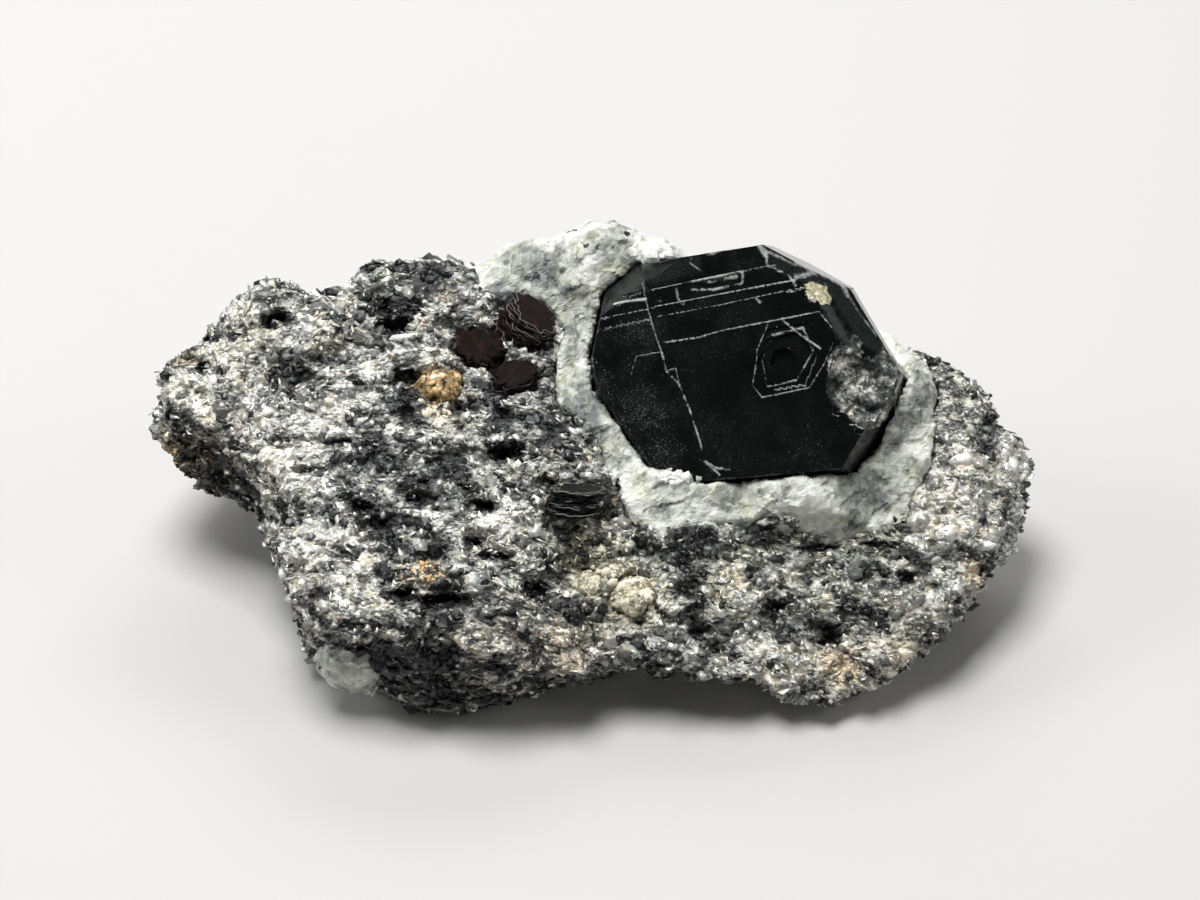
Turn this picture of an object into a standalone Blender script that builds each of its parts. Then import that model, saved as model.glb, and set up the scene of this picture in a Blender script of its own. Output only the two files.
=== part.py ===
"""Sapphirine crystal in a feldspar vein on a block of mica schist.

All dimensions below are in millimetres and become metres when a mesh is made.
+X is to the right, +Y is to the back and +Z is up. The block rests on z = 0.
"""

import math

import bmesh
import bpy
from mathutils import Matrix, Vector, noise

MM = 0.001
PART_NAME = "sapphirine_on_matrix"
NODE_GAP = 0.3

# ---------------------------------------------------------------- the block
# Cross-sections of the block from left to right. Each row gives x, then the
# (y, z) of the rim behind the top face, the brow in front of it, the lip
# below the brow, the front and back of the foot, and the back of the block.
SECTIONS = (
    (-30.6, (8.6, 12.8), (6.2, 12.0), (6.0, 10.0), (7.0, 9.0), (9.5, 9.0), (10.2, 11.0)),
    (-28.8, (11.3, 13.8), (5.0, 12.2), (5.2, 8.6), (7.5, 8.0), (12.0, 7.8), (14.0, 10.2)),
    (-27.3, (12.0, 15.0), (4.6, 12.0), (5.0, 7.4), (8.0, 6.0), (14.0, 5.6), (16.0, 9.8)),
    (-24.5, (15.0, 16.5), (3.2, 12.0), (4.0, 6.2), (7.0, 4.2), (16.0, 3.6), (19.0, 9.4)),
    (-22.2, (14.3, 17.0), (0.0, 11.2), (2.5, 5.2), (6.0, 1.8), (17.0, 1.4), (19.5, 9.5)),
    (-20.8, (13.4, 17.0), (-8.2, 9.0), (-6.0, 3.5), (0.0, 0.3), (16.5, -0.2), (19.5, 9.0)),
    (-19.7, (12.9, 17.0), (-9.9, 8.5), (-9.6, 4.0), (-4.0, 0.0), (16.0, -0.6), (19.5, 9.0)),
    (-17.6, (13.3, 17.0), (-12.6, 8.0), (-10.3, 1.5), (-7.5, -0.6), (16.0, -0.6), (19.5, 9.5)),
    (-14.5, (16.1, 18.0), (-13.2, 8.0), (-11.0, 0.8), (-9.0, -0.6), (16.5, -0.6), (20.5, 10.0)),
    (-12.0, (15.3, 18.0), (-13.2, 8.0), (-12.0, 0.5), (-10.5, -0.6), (16.5, -0.6), (20.0, 10.0)),
    (-9.5, (15.0, 18.0), (-13.3, 8.0), (-12.2, 0.3), (-11.0, -0.6), (16.5, -0.6), (19.5, 10.0)),
    (-6.1, (15.1, 18.0), (-14.1, 7.5), (-11.7, 0.8), (-10.0, -0.6), (16.0, -0.6), (19.0, 10.0)),
    (-2.1, (15.0, 17.5), (-13.8, 6.0), (-11.6, 2.6), (-8.5, -0.6), (15.5, -0.6), (19.0, 10.0)),
    (0.5, (15.5, 17.5), (-13.2, 5.5), (-11.4, 3.6), (-7.5, -0.6), (15.5, -0.6), (19.0, 10.0)),
    (3.3, (15.5, 17.0), (-12.7, 5.2), (-11.4, 4.0), (-7.0, -0.6), (15.5, -0.6), (19.0, 10.0)),
    (6.0, (15.0, 16.5), (-13.1, 5.1), (-11.7, 3.8), (-6.0, -0.6), (15.0, -0.6), (18.5, 9.5)),
    (11.4, (14.0, 16.0), (-12.8, 4.0), (-11.2, 2.2), (-7.0, -0.6), (14.0, -0.6), (18.0, 9.0)),
    (16.9, (12.5, 15.5), (-13.2, 2.5), (-11.7, 0.3), (-9.0, -0.6), (13.0, -0.6), (16.5, 8.5)),
    (19.6, (11.0, 15.5), (-12.4, 3.2), (-10.8, 1.2), (-8.0, -0.4), (12.0, -0.4), (15.0, 8.5)),
    (22.5, (9.5, 15.5), (-10.0, 4.2), (-8.4, 2.5), (-5.5, 0.6), (10.5, 0.6), (13.5, 9.0)),
    (24.6, (8.0, 14.8), (-7.7, 5.2), (-6.0, 3.2), (-4.0, 1.8), (9.0, 2.0), (11.5, 9.0)),
    (26.8, (6.5, 13.3), (-5.4, 6.2), (-3.5, 4.2), (-2.0, 3.0), (7.5, 3.5), (9.5, 8.5)),
    (28.8, (5.6, 11.3), (-2.4, 7.0), (-1.0, 5.0), (0.5, 4.6), (6.5, 5.2), (8.0, 8.0)),
    (30.2, (5.0, 9.6), (2.8, 8.0), (3.0, 7.0), (3.6, 6.6), (5.2, 7.0), (5.8, 8.0)),
)
# How many points each leg of a cross-section is divided into, and how far
# the middle of the top face swells above a straight line.
LEG_POINTS = (14, 6, 5, 9, 6, 6)
TOP_SWELL = 0.7
COLUMN_STEP = 1.2

# Lumps that stand on the block: centre and radii.
PEAK_LUMPS = (
    ((0.8, 15.4, 15.4), (4.4, 3.9, 5.2)),
    ((-3.8, 15.6, 15.0), (4.6, 3.8, 3.7)),
    ((4.4, 14.8, 14.6), (3.8, 4.2, 5.0)),
)
BED_LUMPS = (
    ((10.5, 11.2, 13.0), (7.5, 5.2, 6.0)),
    ((6.6, 3.6, 9.6), (6.6, 5.6, 3.2)),
    ((15.2, 3.4, 9.6), (6.6, 6.6, 3.6)),
    ((20.4, 6.4, 12.4), (3.4, 4.2, 3.6)),
)

VOXEL = 0.6
ROCK_TRIANGLES = 5230
LUMP_DIVISIONS = 4

# Relief of the broken schist: wavelength and height.
BROAD_WAVE = (9.0, 0.8)
CHIP_WAVE = (3.2, 0.75)
CRUMB_WAVE = (1.5, 0.25)
LAYER_THICKNESS = 1.9
LAYER_DEPTH = 0.5
LAYER_WAVE = (6.0, 0.6)
LAYER_NORMAL = Vector((0.10, -0.16, 0.98)).normalized()
# Relief of the vein, which breaks in larger and rounder lumps.
VEIN_WAVE = (5.0, 0.55)
VEIN_CHIP = (2.4, 0.35)
# The chips' outlines stray by a share of their size, over a wavelength in
# chip sizes. The places of two chips are spread apart so that their heights
# differ, and the heights are scaled to run from -1 to 1.
CHIP_STRAY = 0.35
CHIP_STRAY_WAVE = 1.7
CHIP_PLACE_SPREAD = 7.3
CHIP_HEIGHT_SCALE = 1.6

# Pits in the top face: x, y, half width, half length front to back, depth.
# They sink only faces whose normal rises at least this much.
PIT_FACING = 0.2
PITS = (
    (-27.6, 11.2, 1.4, 1.2, 1.2),
    (-22.4, 11.3, 1.3, 1.0, 1.0),
    (-14.0, 10.3, 1.9, 1.1, 1.4),
    (-13.1, 6.0, 1.8, 1.0, 1.0),
    (-9.3, 3.8, 1.2, 0.9, 0.9),
    (-5.9, 0.0, 1.8, 1.1, 1.4),
    (-15.7, -3.6, 1.3, 1.0, 1.0),
    (-14.1, -4.7, 1.2, 0.9, 1.0),
    (-7.4, -4.0, 1.7, 0.8, 1.1),
    (-8.0, -6.3, 1.3, 0.8, 1.0),
    (-12.6, -10.1, 1.3, 0.9, 1.0),
    (-9.4, -10.5, 2.1, 0.9, 1.3),
    (-3.9, -8.7, 1.3, 0.9, 1.0),
    (7.4, -9.7, 1.5, 0.9, 1.0),
    (16.2, -9.3, 1.5, 1.2, 1.3),
)

# Plan of the vein (x, y) and how deep it reaches into the block. It runs out
# through the back.
VEIN_PLAN = (
    (-6.5, 26.0), (-8.9, 15.0), (-8.1, 13.2), (-6.4, 12.5), (-4.4, 12.9), (-2.8, 12.0),
    (-1.9, 10.4), (-2.3, 8.9), (-2.8, 7.3), (-2.5, 5.3), (-1.0, 3.5), (0.4, 2.0),
    (1.2, 0.3), (2.1, -1.7), (3.3, -2.9), (4.7, -3.9), (7.4, -3.2), (11.6, -2.3),
    (14.4, -2.8), (17.0, -2.9), (19.2, -2.8), (21.3, -2.4), (22.2, -1.1), (23.4, 1.4),
    (24.0, 3.8), (24.2, 6.1), (23.6, 8.6), (21.6, 11.4), (17.4, 14.0), (15.0, 26.0),
)
VEIN_FLOOR = 4.5
VEIN_TOP = 34.0
VEIN_EDGE_STEP = 0.8
VEIN_EDGE_WAVE = (1.8, 0.45)
# Where the vein runs out through the back of the block it narrows downwards
# to an uneven wedge: where that begins and is complete from front to back,
# the height at which it begins, the middle of the wedge, how much narrower
# it is at the vein's floor, the wavelength and reach of its wandering sides,
# and the heights at which the sides are divided.
WEDGE_DEPTHS = (13.5, 17.0)
WEDGE_TOP = 17.5
WEDGE_MIDDLE = 1.5
WEDGE_TAPER = 0.88
WEDGE_WAVE = (4.2, 2.2)
WEDGE_LEVELS = (8.8, 13.1, 17.4)

# -------------------------------------------------------------- the crystal
# The crystal's own frame: X to the right along its front face, Y up it and Z
# straight out of it, with the origin in the middle of the face.
CRYSTAL_CENTRE = (9.0, 4.8, 17.0)
CRYSTAL_TURN = 17.0
CRYSTAL_RISE = 45.0
CRYSTAL_THICKNESS = 6.6
GIRDLE_DEPTH = 2.5
# Flat faces: direction round the crystal in degrees, distance from its axis
# at a depth below the front face, and lean towards the front in degrees.
CRYSTAL_FACES = (
    (109.0, 8.55, GIRDLE_DEPTH, 8.0),
    (73.0, 9.20, GIRDLE_DEPTH, 8.0),
    (42.0, 10.35, GIRDLE_DEPTH, 4.0),
    (0.0, 11.90, GIRDLE_DEPTH, 4.0),
    (-18.0, 11.25, GIRDLE_DEPTH, 9.0),
    (-74.0, 7.85, GIRDLE_DEPTH, 2.0),
    (-133.5, 8.50, GIRDLE_DEPTH, 10.0),
    (-159.0, 9.60, GIRDLE_DEPTH, 15.0),
    (180.0, 9.90, GIRDLE_DEPTH, 15.0),
    (140.7, 10.20, GIRDLE_DEPTH, 10.0),
    (42.0, 7.95, 0.0, 44.0),
    (135.0, 7.70, 0.0, 40.0),
    (109.0, 7.40, CRYSTAL_THICKNESS, -38.0),
    (42.0, 8.80, CRYSTAL_THICKNESS, -38.0),
    (180.0, 8.60, CRYSTAL_THICKNESS, -38.0),
)
# Growth steps across the upper part of the face: distance up the face and
# how far the band above it lies below the face.
STEP_DIRECTION = 112.0
GROWTH_STEPS = ((2.55, 0.10), (4.40, 0.22), (5.20, 0.36), (6.50, 0.85))
# Six-sided growth hollows: centre, radius, depth and number of sides.
HOLLOWS = (
    ((4.75, 1.35), 2.95, 0.12, 6),
    ((4.30, 1.35), 2.15, 0.38, 6),
    ((4.05, 1.35), 0.95, 0.85, 6),
)
HOLLOW_TURN = 110.0
HOLLOW_CUTTER_HEIGHT = 2.0
# The rough broken corner: centre and radii in the crystal's frame, size and
# height of its chips, and triangles of the lump that cuts it.
BREAK_CENTRE = (10.7, 0.7, 0.5)
BREAK_RADII = (3.5, 3.3, 2.0)
BREAK_CHIP = (1.3, 0.45)
BREAK_TRIANGLES = 420

# ---------------------------------------------------------- books and grains
# Mica books: name, centre of the top sheet, the way that the sheets face
# (direction and rise in degrees), spin, half length and half width of a
# sheet, number of sheets, shift of each sheet from the one above.
BOOKS = (
    ("mica_book_upper", (-4.1, 10.5, 17.5), (-30.0, 59.0), 4.0, (1.90, 1.25), 6, (0.03, -0.22)),
    ("mica_book_left", (-8.0, 8.3, 16.3), (-98.0, 54.0), 84.0, (1.65, 1.25), 3, (0.06, -0.14)),
    ("mica_book_lower", (-5.4, 6.2, 15.5), (-80.0, 60.0), 94.0, (1.50, 0.90), 3, (0.05, -0.12)),
    ("black_mica_book", (-1.0, -2.6, 12.4), (84.0, 66.0), 92.0, (1.70, 1.15), 5, (0.06, 0.16)),
)
SHEET_THICKNESS = 0.34
SHEET_OVERLAP = 0.05
SHEET_CORNERS = 7
# How uneven a sheet's outline is, and the steps between corners, between
# sheets and in depth through the noise that makes it so.
SHEET_UNEVENNESS = 0.16
SHEET_NOISE_STEPS = (1.7, 3.1, 0.5)
SHEETS_BETWEEN_BOOKS = 10
# The cutter of a book's place: room above the book, margin round its
# outline, and the sheet whose outline it takes.
BOOK_HEADROOM = 3.0
BOOK_MARGIN = 0.2
SOCKET_SHEET = 1

# Grains and crusts: name, centre, radii and number of the seed of their form.
GRAINS = (
    ("amber_grain", (-10.75, 5.75, 14.6), (1.60, 1.35, 0.95), 3),
    ("cream_grain_large", (2.75, -8.0, 7.2), (1.65, 1.35, 0.95), 5),
    ("cream_grain_small", (-0.15, -7.55, 8.0), (0.85, 0.90, 0.65), 8),
    ("feldspar_corner", (-16.3, -11.1, 3.9), (2.4, 1.4, 2.1), 11),
)
# Height of the grains' chips as a share of the smallest radius, their size,
# the step from seed to seed through the noise, and triangles of a grain.
GRAIN_ROUGHNESS = 0.32
GRAIN_CHIP = 1.1
GRAIN_SEED_STEP = Vector((5.3, 2.9, 1.7))
GRAIN_TRIANGLES = 160

# Base colour, roughness and metallic value of each piece.
FINISHES = {
    "schist_matrix": ((0.30, 0.29, 0.27), 0.45, 0.0),
    "feldspar_vein": ((0.78, 0.79, 0.77), 0.35, 0.0),
    "feldspar_corner": ((0.74, 0.76, 0.74), 0.45, 0.0),
    "sapphirine_crystal": ((0.010, 0.014, 0.016), 0.22, 0.0),
    "mica_book_upper": ((0.045, 0.014, 0.010), 0.22, 0.0),
    "mica_book_left": ((0.040, 0.013, 0.010), 0.22, 0.0),
    "mica_book_lower": ((0.032, 0.012, 0.010), 0.25, 0.0),
    "black_mica_book": ((0.020, 0.020, 0.020), 0.25, 0.0),
    "amber_grain": ((0.60, 0.36, 0.14), 0.35, 0.0),
    "cream_grain_large": ((0.62, 0.55, 0.40), 0.45, 0.0),
    "cream_grain_small": ((0.60, 0.54, 0.42), 0.45, 0.0),
}

WORK_SIZE = 120.0
WELD_DISTANCE = 0.0005
# The seed of all noise, which makes every build of the part the same.
NOISE_SEED = 7


def new_collection(name):
    """Make a collection in the scene."""
    collection = bpy.data.collections.new(name)
    bpy.context.scene.collection.children.link(collection)
    return collection


def add_object(name, mesh, collection):
    """Put a mesh in the scene as an object."""
    item = bpy.data.objects.new(name, mesh)
    collection.objects.link(item)
    return item


def evaluated_mesh(item):
    """Return the item's mesh with its modifiers applied."""
    graph = bpy.context.evaluated_depsgraph_get()
    return bpy.data.meshes.new_from_object(item.evaluated_get(graph))


def apply_modifiers(item):
    """Bake the item's modifiers into its own mesh."""
    mesh = evaluated_mesh(item)
    old = item.data
    item.modifiers.clear()
    item.data = mesh
    bpy.data.meshes.remove(old)


def mix(a, b, t):
    """Blend two numbers."""
    return a + (b - a) * t


def section_at(x):
    """Return the six (y, z) corners of the block's section at x."""
    for left, right in zip(SECTIONS, SECTIONS[1:]):
        if x <= right[0]:
            break
    t = (x - left[0]) / (right[0] - left[0])
    corners = []
    for a, b in zip(left[1:], right[1:]):
        corners.append((mix(a[0], b[0], t), mix(a[1], b[1], t)))
    return corners


def section_ring(x):
    """Return the points round the block at x."""
    corners = section_at(x)
    ring = []
    for leg, count in enumerate(LEG_POINTS):
        start = corners[leg]
        end = corners[(leg + 1) % len(corners)]
        for step in range(count):
            t = step / count
            swell = TOP_SWELL * math.sin(math.pi * t) if leg == 0 else 0.0
            y = mix(start[0], end[0], t)
            z = mix(start[1], end[1], t) + swell
            ring.append(Vector((x, y, z)) * MM)
    return ring


def block_mesh():
    """Loft the block through its sections."""
    first = SECTIONS[0][0]
    last = SECTIONS[-1][0]
    columns = int((last - first) / COLUMN_STEP)
    bm = bmesh.new()
    rings = []
    for column in range(columns + 1):
        x = mix(first, last, column / columns)
        rings.append([bm.verts.new(point) for point in section_ring(x)])
    for near, far in zip(rings, rings[1:]):
        count = len(near)
        for i in range(count):
            j = (i + 1) % count
            bm.faces.new((near[i], near[j], far[j], far[i]))
    bm.faces.new(rings[0])
    bm.faces.new(rings[-1])
    bmesh.ops.recalc_face_normals(bm, faces=bm.faces)
    return finish_mesh(bm, "block")


def finish_mesh(bm, name):
    """Turn a bmesh into a mesh."""
    mesh = bpy.data.meshes.new(name)
    bm.to_mesh(mesh)
    bm.free()
    return mesh


def lump_mesh(centre, radii):
    """Make an ellipsoid."""
    bm = bmesh.new()
    bmesh.ops.create_icosphere(bm, subdivisions=LUMP_DIVISIONS, radius=1.0)
    place = Matrix.Translation(Vector(centre) * MM)
    stretch = Matrix.Diagonal((*[radius * MM for radius in radii], 1.0))
    bmesh.ops.transform(bm, matrix=place @ stretch, verts=bm.verts)
    return finish_mesh(bm, "lump")


def join_meshes(meshes, name):
    """Collect several meshes in one."""
    bm = bmesh.new()
    for mesh in meshes:
        bm.from_mesh(mesh)
        bpy.data.meshes.remove(mesh)
    return finish_mesh(bm, name)


def chip_height(point, size):
    """Return a height from -1 to 1 that steps from chip to chip."""
    stray = noise.noise_vector(point / (size * CHIP_STRAY_WAVE)) * CHIP_STRAY
    places = noise.voronoi(point / size + stray)[1]
    return noise.noise(places[0] * CHIP_PLACE_SPREAD) * CHIP_HEIGHT_SCALE


def smooth_dip(distance):
    """Return 1 at the middle of a pit, falling to 0 at its edge."""
    if distance >= 1.0:
        return 0.0
    return (1.0 - distance * distance) ** 2


def pit_depth(point):
    """Return how deep the named pits are at a point of the top face."""
    depth = 0.0
    for x, y, half_x, half_y, deep in PITS:
        away = math.hypot((point.x - x) / half_x, (point.y - y) / half_y)
        depth += deep * smooth_dip(away)
    return depth


def schist_relief(point, normal):
    """Return how far the schist stands out at a point."""
    height = BROAD_WAVE[1] * noise.noise(point / BROAD_WAVE[0])
    height += CHIP_WAVE[1] * chip_height(point, CHIP_WAVE[0])
    height += CRUMB_WAVE[1] * noise.noise(point / CRUMB_WAVE[0])
    slant = math.sqrt(max(0.0, 1.0 - normal.dot(LAYER_NORMAL) ** 2))
    layer = point.dot(LAYER_NORMAL) / LAYER_THICKNESS
    layer += LAYER_WAVE[1] * noise.noise(point / LAYER_WAVE[0])
    height += LAYER_DEPTH * slant * (2.0 * (layer - math.floor(layer)) - 1.0)
    if normal.z > PIT_FACING:
        height -= pit_depth(point)
    return height


def vein_relief(point):
    """Return how far the vein stands out at a point."""
    height = VEIN_WAVE[1] * noise.noise(point / VEIN_WAVE[0])
    return height + VEIN_CHIP[1] * chip_height(point, VEIN_CHIP[0])


def wedge(point):
    """Return how far the vein's sides stray and how much narrower it is at a point."""
    start, end = WEDGE_DEPTHS
    share = min(max((point.y - start) / (end - start), 0.0), 1.0)
    depth = min(max((WEDGE_TOP - point.z) / (WEDGE_TOP - VEIN_FLOOR), 0.0), 1.0)
    stray = noise.noise(point / WEDGE_WAVE[0]) * WEDGE_WAVE[1]
    return share * stray, share * depth * WEDGE_TAPER


def narrowed_x(point):
    """Return where a point of the vein's straight column lies across the wedge."""
    stray, narrow = wedge(point)
    return mix(point.x, WEDGE_MIDDLE, narrow) + stray


def straight_x(point):
    """Return where a point across the wedge lies in the vein's straight column."""
    stray, narrow = wedge(point)
    return WEDGE_MIDDLE + (point.x - stray - WEDGE_MIDDLE) / (1.0 - narrow)


def in_vein_plan(point):
    """Tell whether a point lies within the plan of the vein."""
    inside = False
    x = straight_x(point)
    for (ax, ay), (bx, by) in zip(VEIN_PLAN, VEIN_PLAN[1:] + VEIN_PLAN[:1]):
        if (ay > point.y) != (by > point.y):
            cross = ax + (point.y - ay) * (bx - ax) / (by - ay)
            if x < cross:
                inside = not inside
    return inside


def rock_relief(point, normal):
    """Return the relief of whichever rock is at the point."""
    if point.z > VEIN_FLOOR and in_vein_plan(point):
        return vein_relief(point)
    return schist_relief(point, normal)


def displace(mesh, relief):
    """Move each vertex along its normal by relief(point, normal)."""
    normals = [vertex.normal.copy() for vertex in mesh.vertices]
    for vertex, normal in zip(mesh.vertices, normals):
        vertex.co += normal * relief(vertex.co / MM, normal) * MM
    mesh.update()


def add_remesh(item, size):
    """Give the item an even skin of small faces."""
    remesh = item.modifiers.new("skin", "REMESH")
    remesh.mode = "VOXEL"
    remesh.voxel_size = size * MM
    apply_modifiers(item)


def decimate(item, triangles):
    """Reduce the item to about a number of triangles."""
    item.data.calc_loop_triangles()
    thin = item.modifiers.new("thin", "DECIMATE")
    thin.ratio = min(1.0, triangles / len(item.data.loop_triangles))
    apply_modifiers(item)


def boolean(item, operation, cutter):
    """Combine the item with the cutter and keep its largest body."""
    step = item.modifiers.new(operation.lower(), "BOOLEAN")
    step.operation = operation
    step.object = cutter
    step.solver = "EXACT"
    apply_modifiers(item)
    keep_largest(item)


def vertex_islands(bm):
    """Return the sets of vertices that hang together."""
    islands = []
    seen = set()
    for start in bm.verts:
        if start in seen:
            continue
        seen.add(start)
        island = [start]
        for vertex in island:
            for edge in vertex.link_edges:
                other = edge.other_vert(vertex)
                if other not in seen:
                    seen.add(other)
                    island.append(other)
        islands.append(island)
    return islands


def keep_largest(item):
    """Remove every loose crumb of the item but its largest body."""
    bm = bmesh.new()
    bm.from_mesh(item.data)
    islands = sorted(vertex_islands(bm), key=len, reverse=True)
    for island in islands[1:]:
        bmesh.ops.delete(bm, geom=island, context="VERTS")
    bmesh.ops.triangulate(bm, faces=bm.faces)
    bmesh.ops.remove_doubles(bm, verts=bm.verts, dist=WELD_DISTANCE * MM)
    bm.to_mesh(item.data)
    bm.free()


def as_cutter(item):
    """Hide the item from the finished part."""
    item.hide_render = True
    item.display_type = "WIRE"
    return item


def swollen_copy(item, amount, cutters):
    """Return a cutter that stands out from the item by an amount."""
    copy = add_object(item.name + "_swollen", item.data.copy(), cutters)
    swell = copy.modifiers.new("swell", "DISPLACE")
    swell.strength = amount * MM
    swell.mid_level = 0.0
    apply_modifiers(copy)
    return as_cutter(copy)


def floor_slab(cutters):
    """Make the slab that cuts the underside of the block flat."""
    bm = bmesh.new()
    bmesh.ops.create_cube(bm, size=WORK_SIZE * MM)
    bmesh.ops.translate(bm, vec=(0.0, 0.0, -0.5 * WORK_SIZE * MM), verts=bm.verts)
    return as_cutter(add_object("floor_slab", finish_mesh(bm, "floor_slab"), cutters))


def rock_object(parts, cutters):
    """Make the whole broken rock, schist and vein together."""
    meshes = [block_mesh()]
    meshes += [lump_mesh(*lump) for lump in PEAK_LUMPS + BED_LUMPS]
    rock = add_object("schist_matrix", join_meshes(meshes, "rock"), parts)
    add_remesh(rock, VOXEL)
    displace(rock.data, rock_relief)
    decimate(rock, ROCK_TRIANGLES)
    boolean(rock, "DIFFERENCE", floor_slab(cutters))
    return rock


def divided_plan():
    """Return the plan of the vein with short, uneven steps along it."""
    points = []
    for (ax, ay), (bx, by) in zip(VEIN_PLAN, VEIN_PLAN[1:] + VEIN_PLAN[:1]):
        steps = max(1, round(math.hypot(bx - ax, by - ay) / VEIN_EDGE_STEP))
        for step in range(steps):
            spot = Vector((mix(ax, bx, step / steps), mix(ay, by, step / steps), 0.0))
            stray = noise.noise_vector(spot / VEIN_EDGE_WAVE[0]) * VEIN_EDGE_WAVE[1]
            points.append((spot.x + stray.x, spot.y + stray.y))
    return points


def outline_prism(name, points, low, high, collection):
    """Extrude a flat outline of (x, y) points from low to high."""
    curve = bpy.data.curves.new(name, "CURVE")
    curve.dimensions = "2D"
    curve.fill_mode = "BOTH"
    curve.extrude = 0.5 * (high - low) * MM
    spline = curve.splines.new("POLY")
    spline.points.add(len(points) - 1)
    for point, (x, y) in zip(spline.points, points):
        point.co = (x * MM, y * MM, 0.0, 1.0)
    spline.use_cyclic_u = True
    outline = add_object(name + "_outline", curve, collection)
    outline.location.z = 0.5 * (low + high) * MM
    bpy.context.view_layer.update()
    mesh = evaluated_mesh(outline)
    mesh.transform(outline.matrix_world)
    bpy.data.objects.remove(outline)
    bm = bmesh.new()
    bm.from_mesh(mesh)
    bmesh.ops.remove_doubles(bm, verts=bm.verts, dist=WELD_DISTANCE * MM)
    bmesh.ops.recalc_face_normals(bm, faces=bm.faces)
    bm.to_mesh(mesh)
    bm.free()
    return add_object(name, mesh, collection)


def level_cut(bm, height):
    """Divide the sides of a solid at a height."""
    everything = bm.verts[:] + bm.edges[:] + bm.faces[:]
    spot = Vector((0.0, 0.0, height * MM))
    bmesh.ops.bisect_plane(bm, geom=everything, plane_co=spot, plane_no=(0.0, 0.0, 1.0))


def narrow_back(column):
    """Narrow the vein's column downwards behind the crest."""
    bm = bmesh.new()
    bm.from_mesh(column.data)
    for height in WEDGE_LEVELS:
        level_cut(bm, height)
    for vert in bm.verts:
        vert.co.x = narrowed_x(vert.co / MM) * MM
    bmesh.ops.triangulate(bm, faces=bm.faces)
    bmesh.ops.recalc_face_normals(bm, faces=bm.faces)
    bm.to_mesh(column.data)
    bm.free()


def split_vein(rock, parts, cutters):
    """Part the vein from the schist along its plan."""
    plan = divided_plan()
    column = outline_prism("vein_column", plan, VEIN_FLOOR, VEIN_TOP, cutters)
    narrow_back(column)
    vein = add_object("feldspar_vein", rock.data.copy(), parts)
    boolean(vein, "INTERSECT", swollen_copy(column, -0.5 * NODE_GAP, cutters))
    boolean(rock, "DIFFERENCE", swollen_copy(column, 0.5 * NODE_GAP, cutters))
    as_cutter(column)
    return vein


def crystal_frame():
    """Return the matrix from the crystal's frame to the block's."""
    turn = math.radians(CRYSTAL_TURN)
    rise = math.radians(CRYSTAL_RISE)
    out = Vector((-math.sin(turn) * math.cos(rise), -math.cos(turn) * math.cos(rise), math.sin(rise)))
    right = Vector((math.cos(turn), -math.sin(turn), 0.0))
    up = out.cross(right)
    frame = Matrix((right, up, out)).transposed().to_4x4()
    frame.translation = Vector(CRYSTAL_CENTRE) * MM
    return frame


def plane_cut(bm, point, normal):
    """Cut away what lies beyond a plane and close the solid with a flat face."""
    geometry = bm.verts[:] + bm.edges[:] + bm.faces[:]
    cut = bmesh.ops.bisect_plane(bm, geom=geometry, plane_co=point, plane_no=normal, clear_outer=True)
    edges = [piece for piece in cut["geom_cut"] if isinstance(piece, bmesh.types.BMEdge)]
    if edges:
        bmesh.ops.contextual_create(bm, geom=edges)


def crystal_mesh(grow):
    """Cut a block to the flat faces of the crystal, each moved out by grow."""
    bm = bmesh.new()
    bmesh.ops.create_cube(bm, size=WORK_SIZE * MM)
    plane_cut(bm, Vector((0.0, 0.0, grow * MM)), Vector((0.0, 0.0, 1.0)))
    plane_cut(bm, Vector((0.0, 0.0, -(CRYSTAL_THICKNESS + grow) * MM)), Vector((0.0, 0.0, -1.0)))
    for direction, distance, depth, lean in CRYSTAL_FACES:
        around = math.radians(direction)
        tilt = math.radians(lean)
        flat = Vector((math.cos(around), math.sin(around), 0.0))
        normal = flat * math.cos(tilt) + Vector((0.0, 0.0, math.sin(tilt)))
        point = flat * distance + Vector((0.0, 0.0, -depth)) + normal * grow
        plane_cut(bm, point * MM, normal)
    bmesh.ops.recalc_face_normals(bm, faces=bm.faces)
    return finish_mesh(bm, "crystal")


def step_cutter(distance, drop, cutters):
    """Make the block that lowers the face beyond one growth step."""
    bm = bmesh.new()
    bmesh.ops.create_cube(bm, size=WORK_SIZE * MM)
    shift = Vector((distance + 0.5 * WORK_SIZE, 0.0, 0.5 * WORK_SIZE - drop))
    bmesh.ops.translate(bm, vec=shift * MM, verts=bm.verts)
    turn = Matrix.Rotation(math.radians(STEP_DIRECTION), 4, "Z")
    bmesh.ops.transform(bm, matrix=turn, verts=bm.verts)
    return as_cutter(add_object("growth_step", finish_mesh(bm, "growth_step"), cutters))


def hollow_cutter(centre, radius, depth, sides, cutters):
    """Make the prism that sinks one growth hollow."""
    bm = bmesh.new()
    wide = radius * MM
    high = HOLLOW_CUTTER_HEIGHT * MM
    bmesh.ops.create_cone(bm, cap_ends=True, segments=sides, radius1=wide, radius2=wide, depth=high)
    turn = Matrix.Rotation(math.radians(HOLLOW_TURN), 4, "Z")
    bmesh.ops.transform(bm, matrix=turn, verts=bm.verts)
    place = Vector((centre[0], centre[1], 0.5 * HOLLOW_CUTTER_HEIGHT - depth))
    bmesh.ops.translate(bm, vec=place * MM, verts=bm.verts)
    return as_cutter(add_object("growth_hollow", finish_mesh(bm, "growth_hollow"), cutters))


def break_cutter(cutters):
    """Make the rough lump that breaks the crystal's corner."""
    mesh = lump_mesh(BREAK_CENTRE, BREAK_RADII)
    displace(mesh, lambda point, normal: BREAK_CHIP[1] * chip_height(point, BREAK_CHIP[0]))
    item = add_object("broken_corner", mesh, cutters)
    decimate(item, BREAK_TRIANGLES)
    return as_cutter(item)


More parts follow.
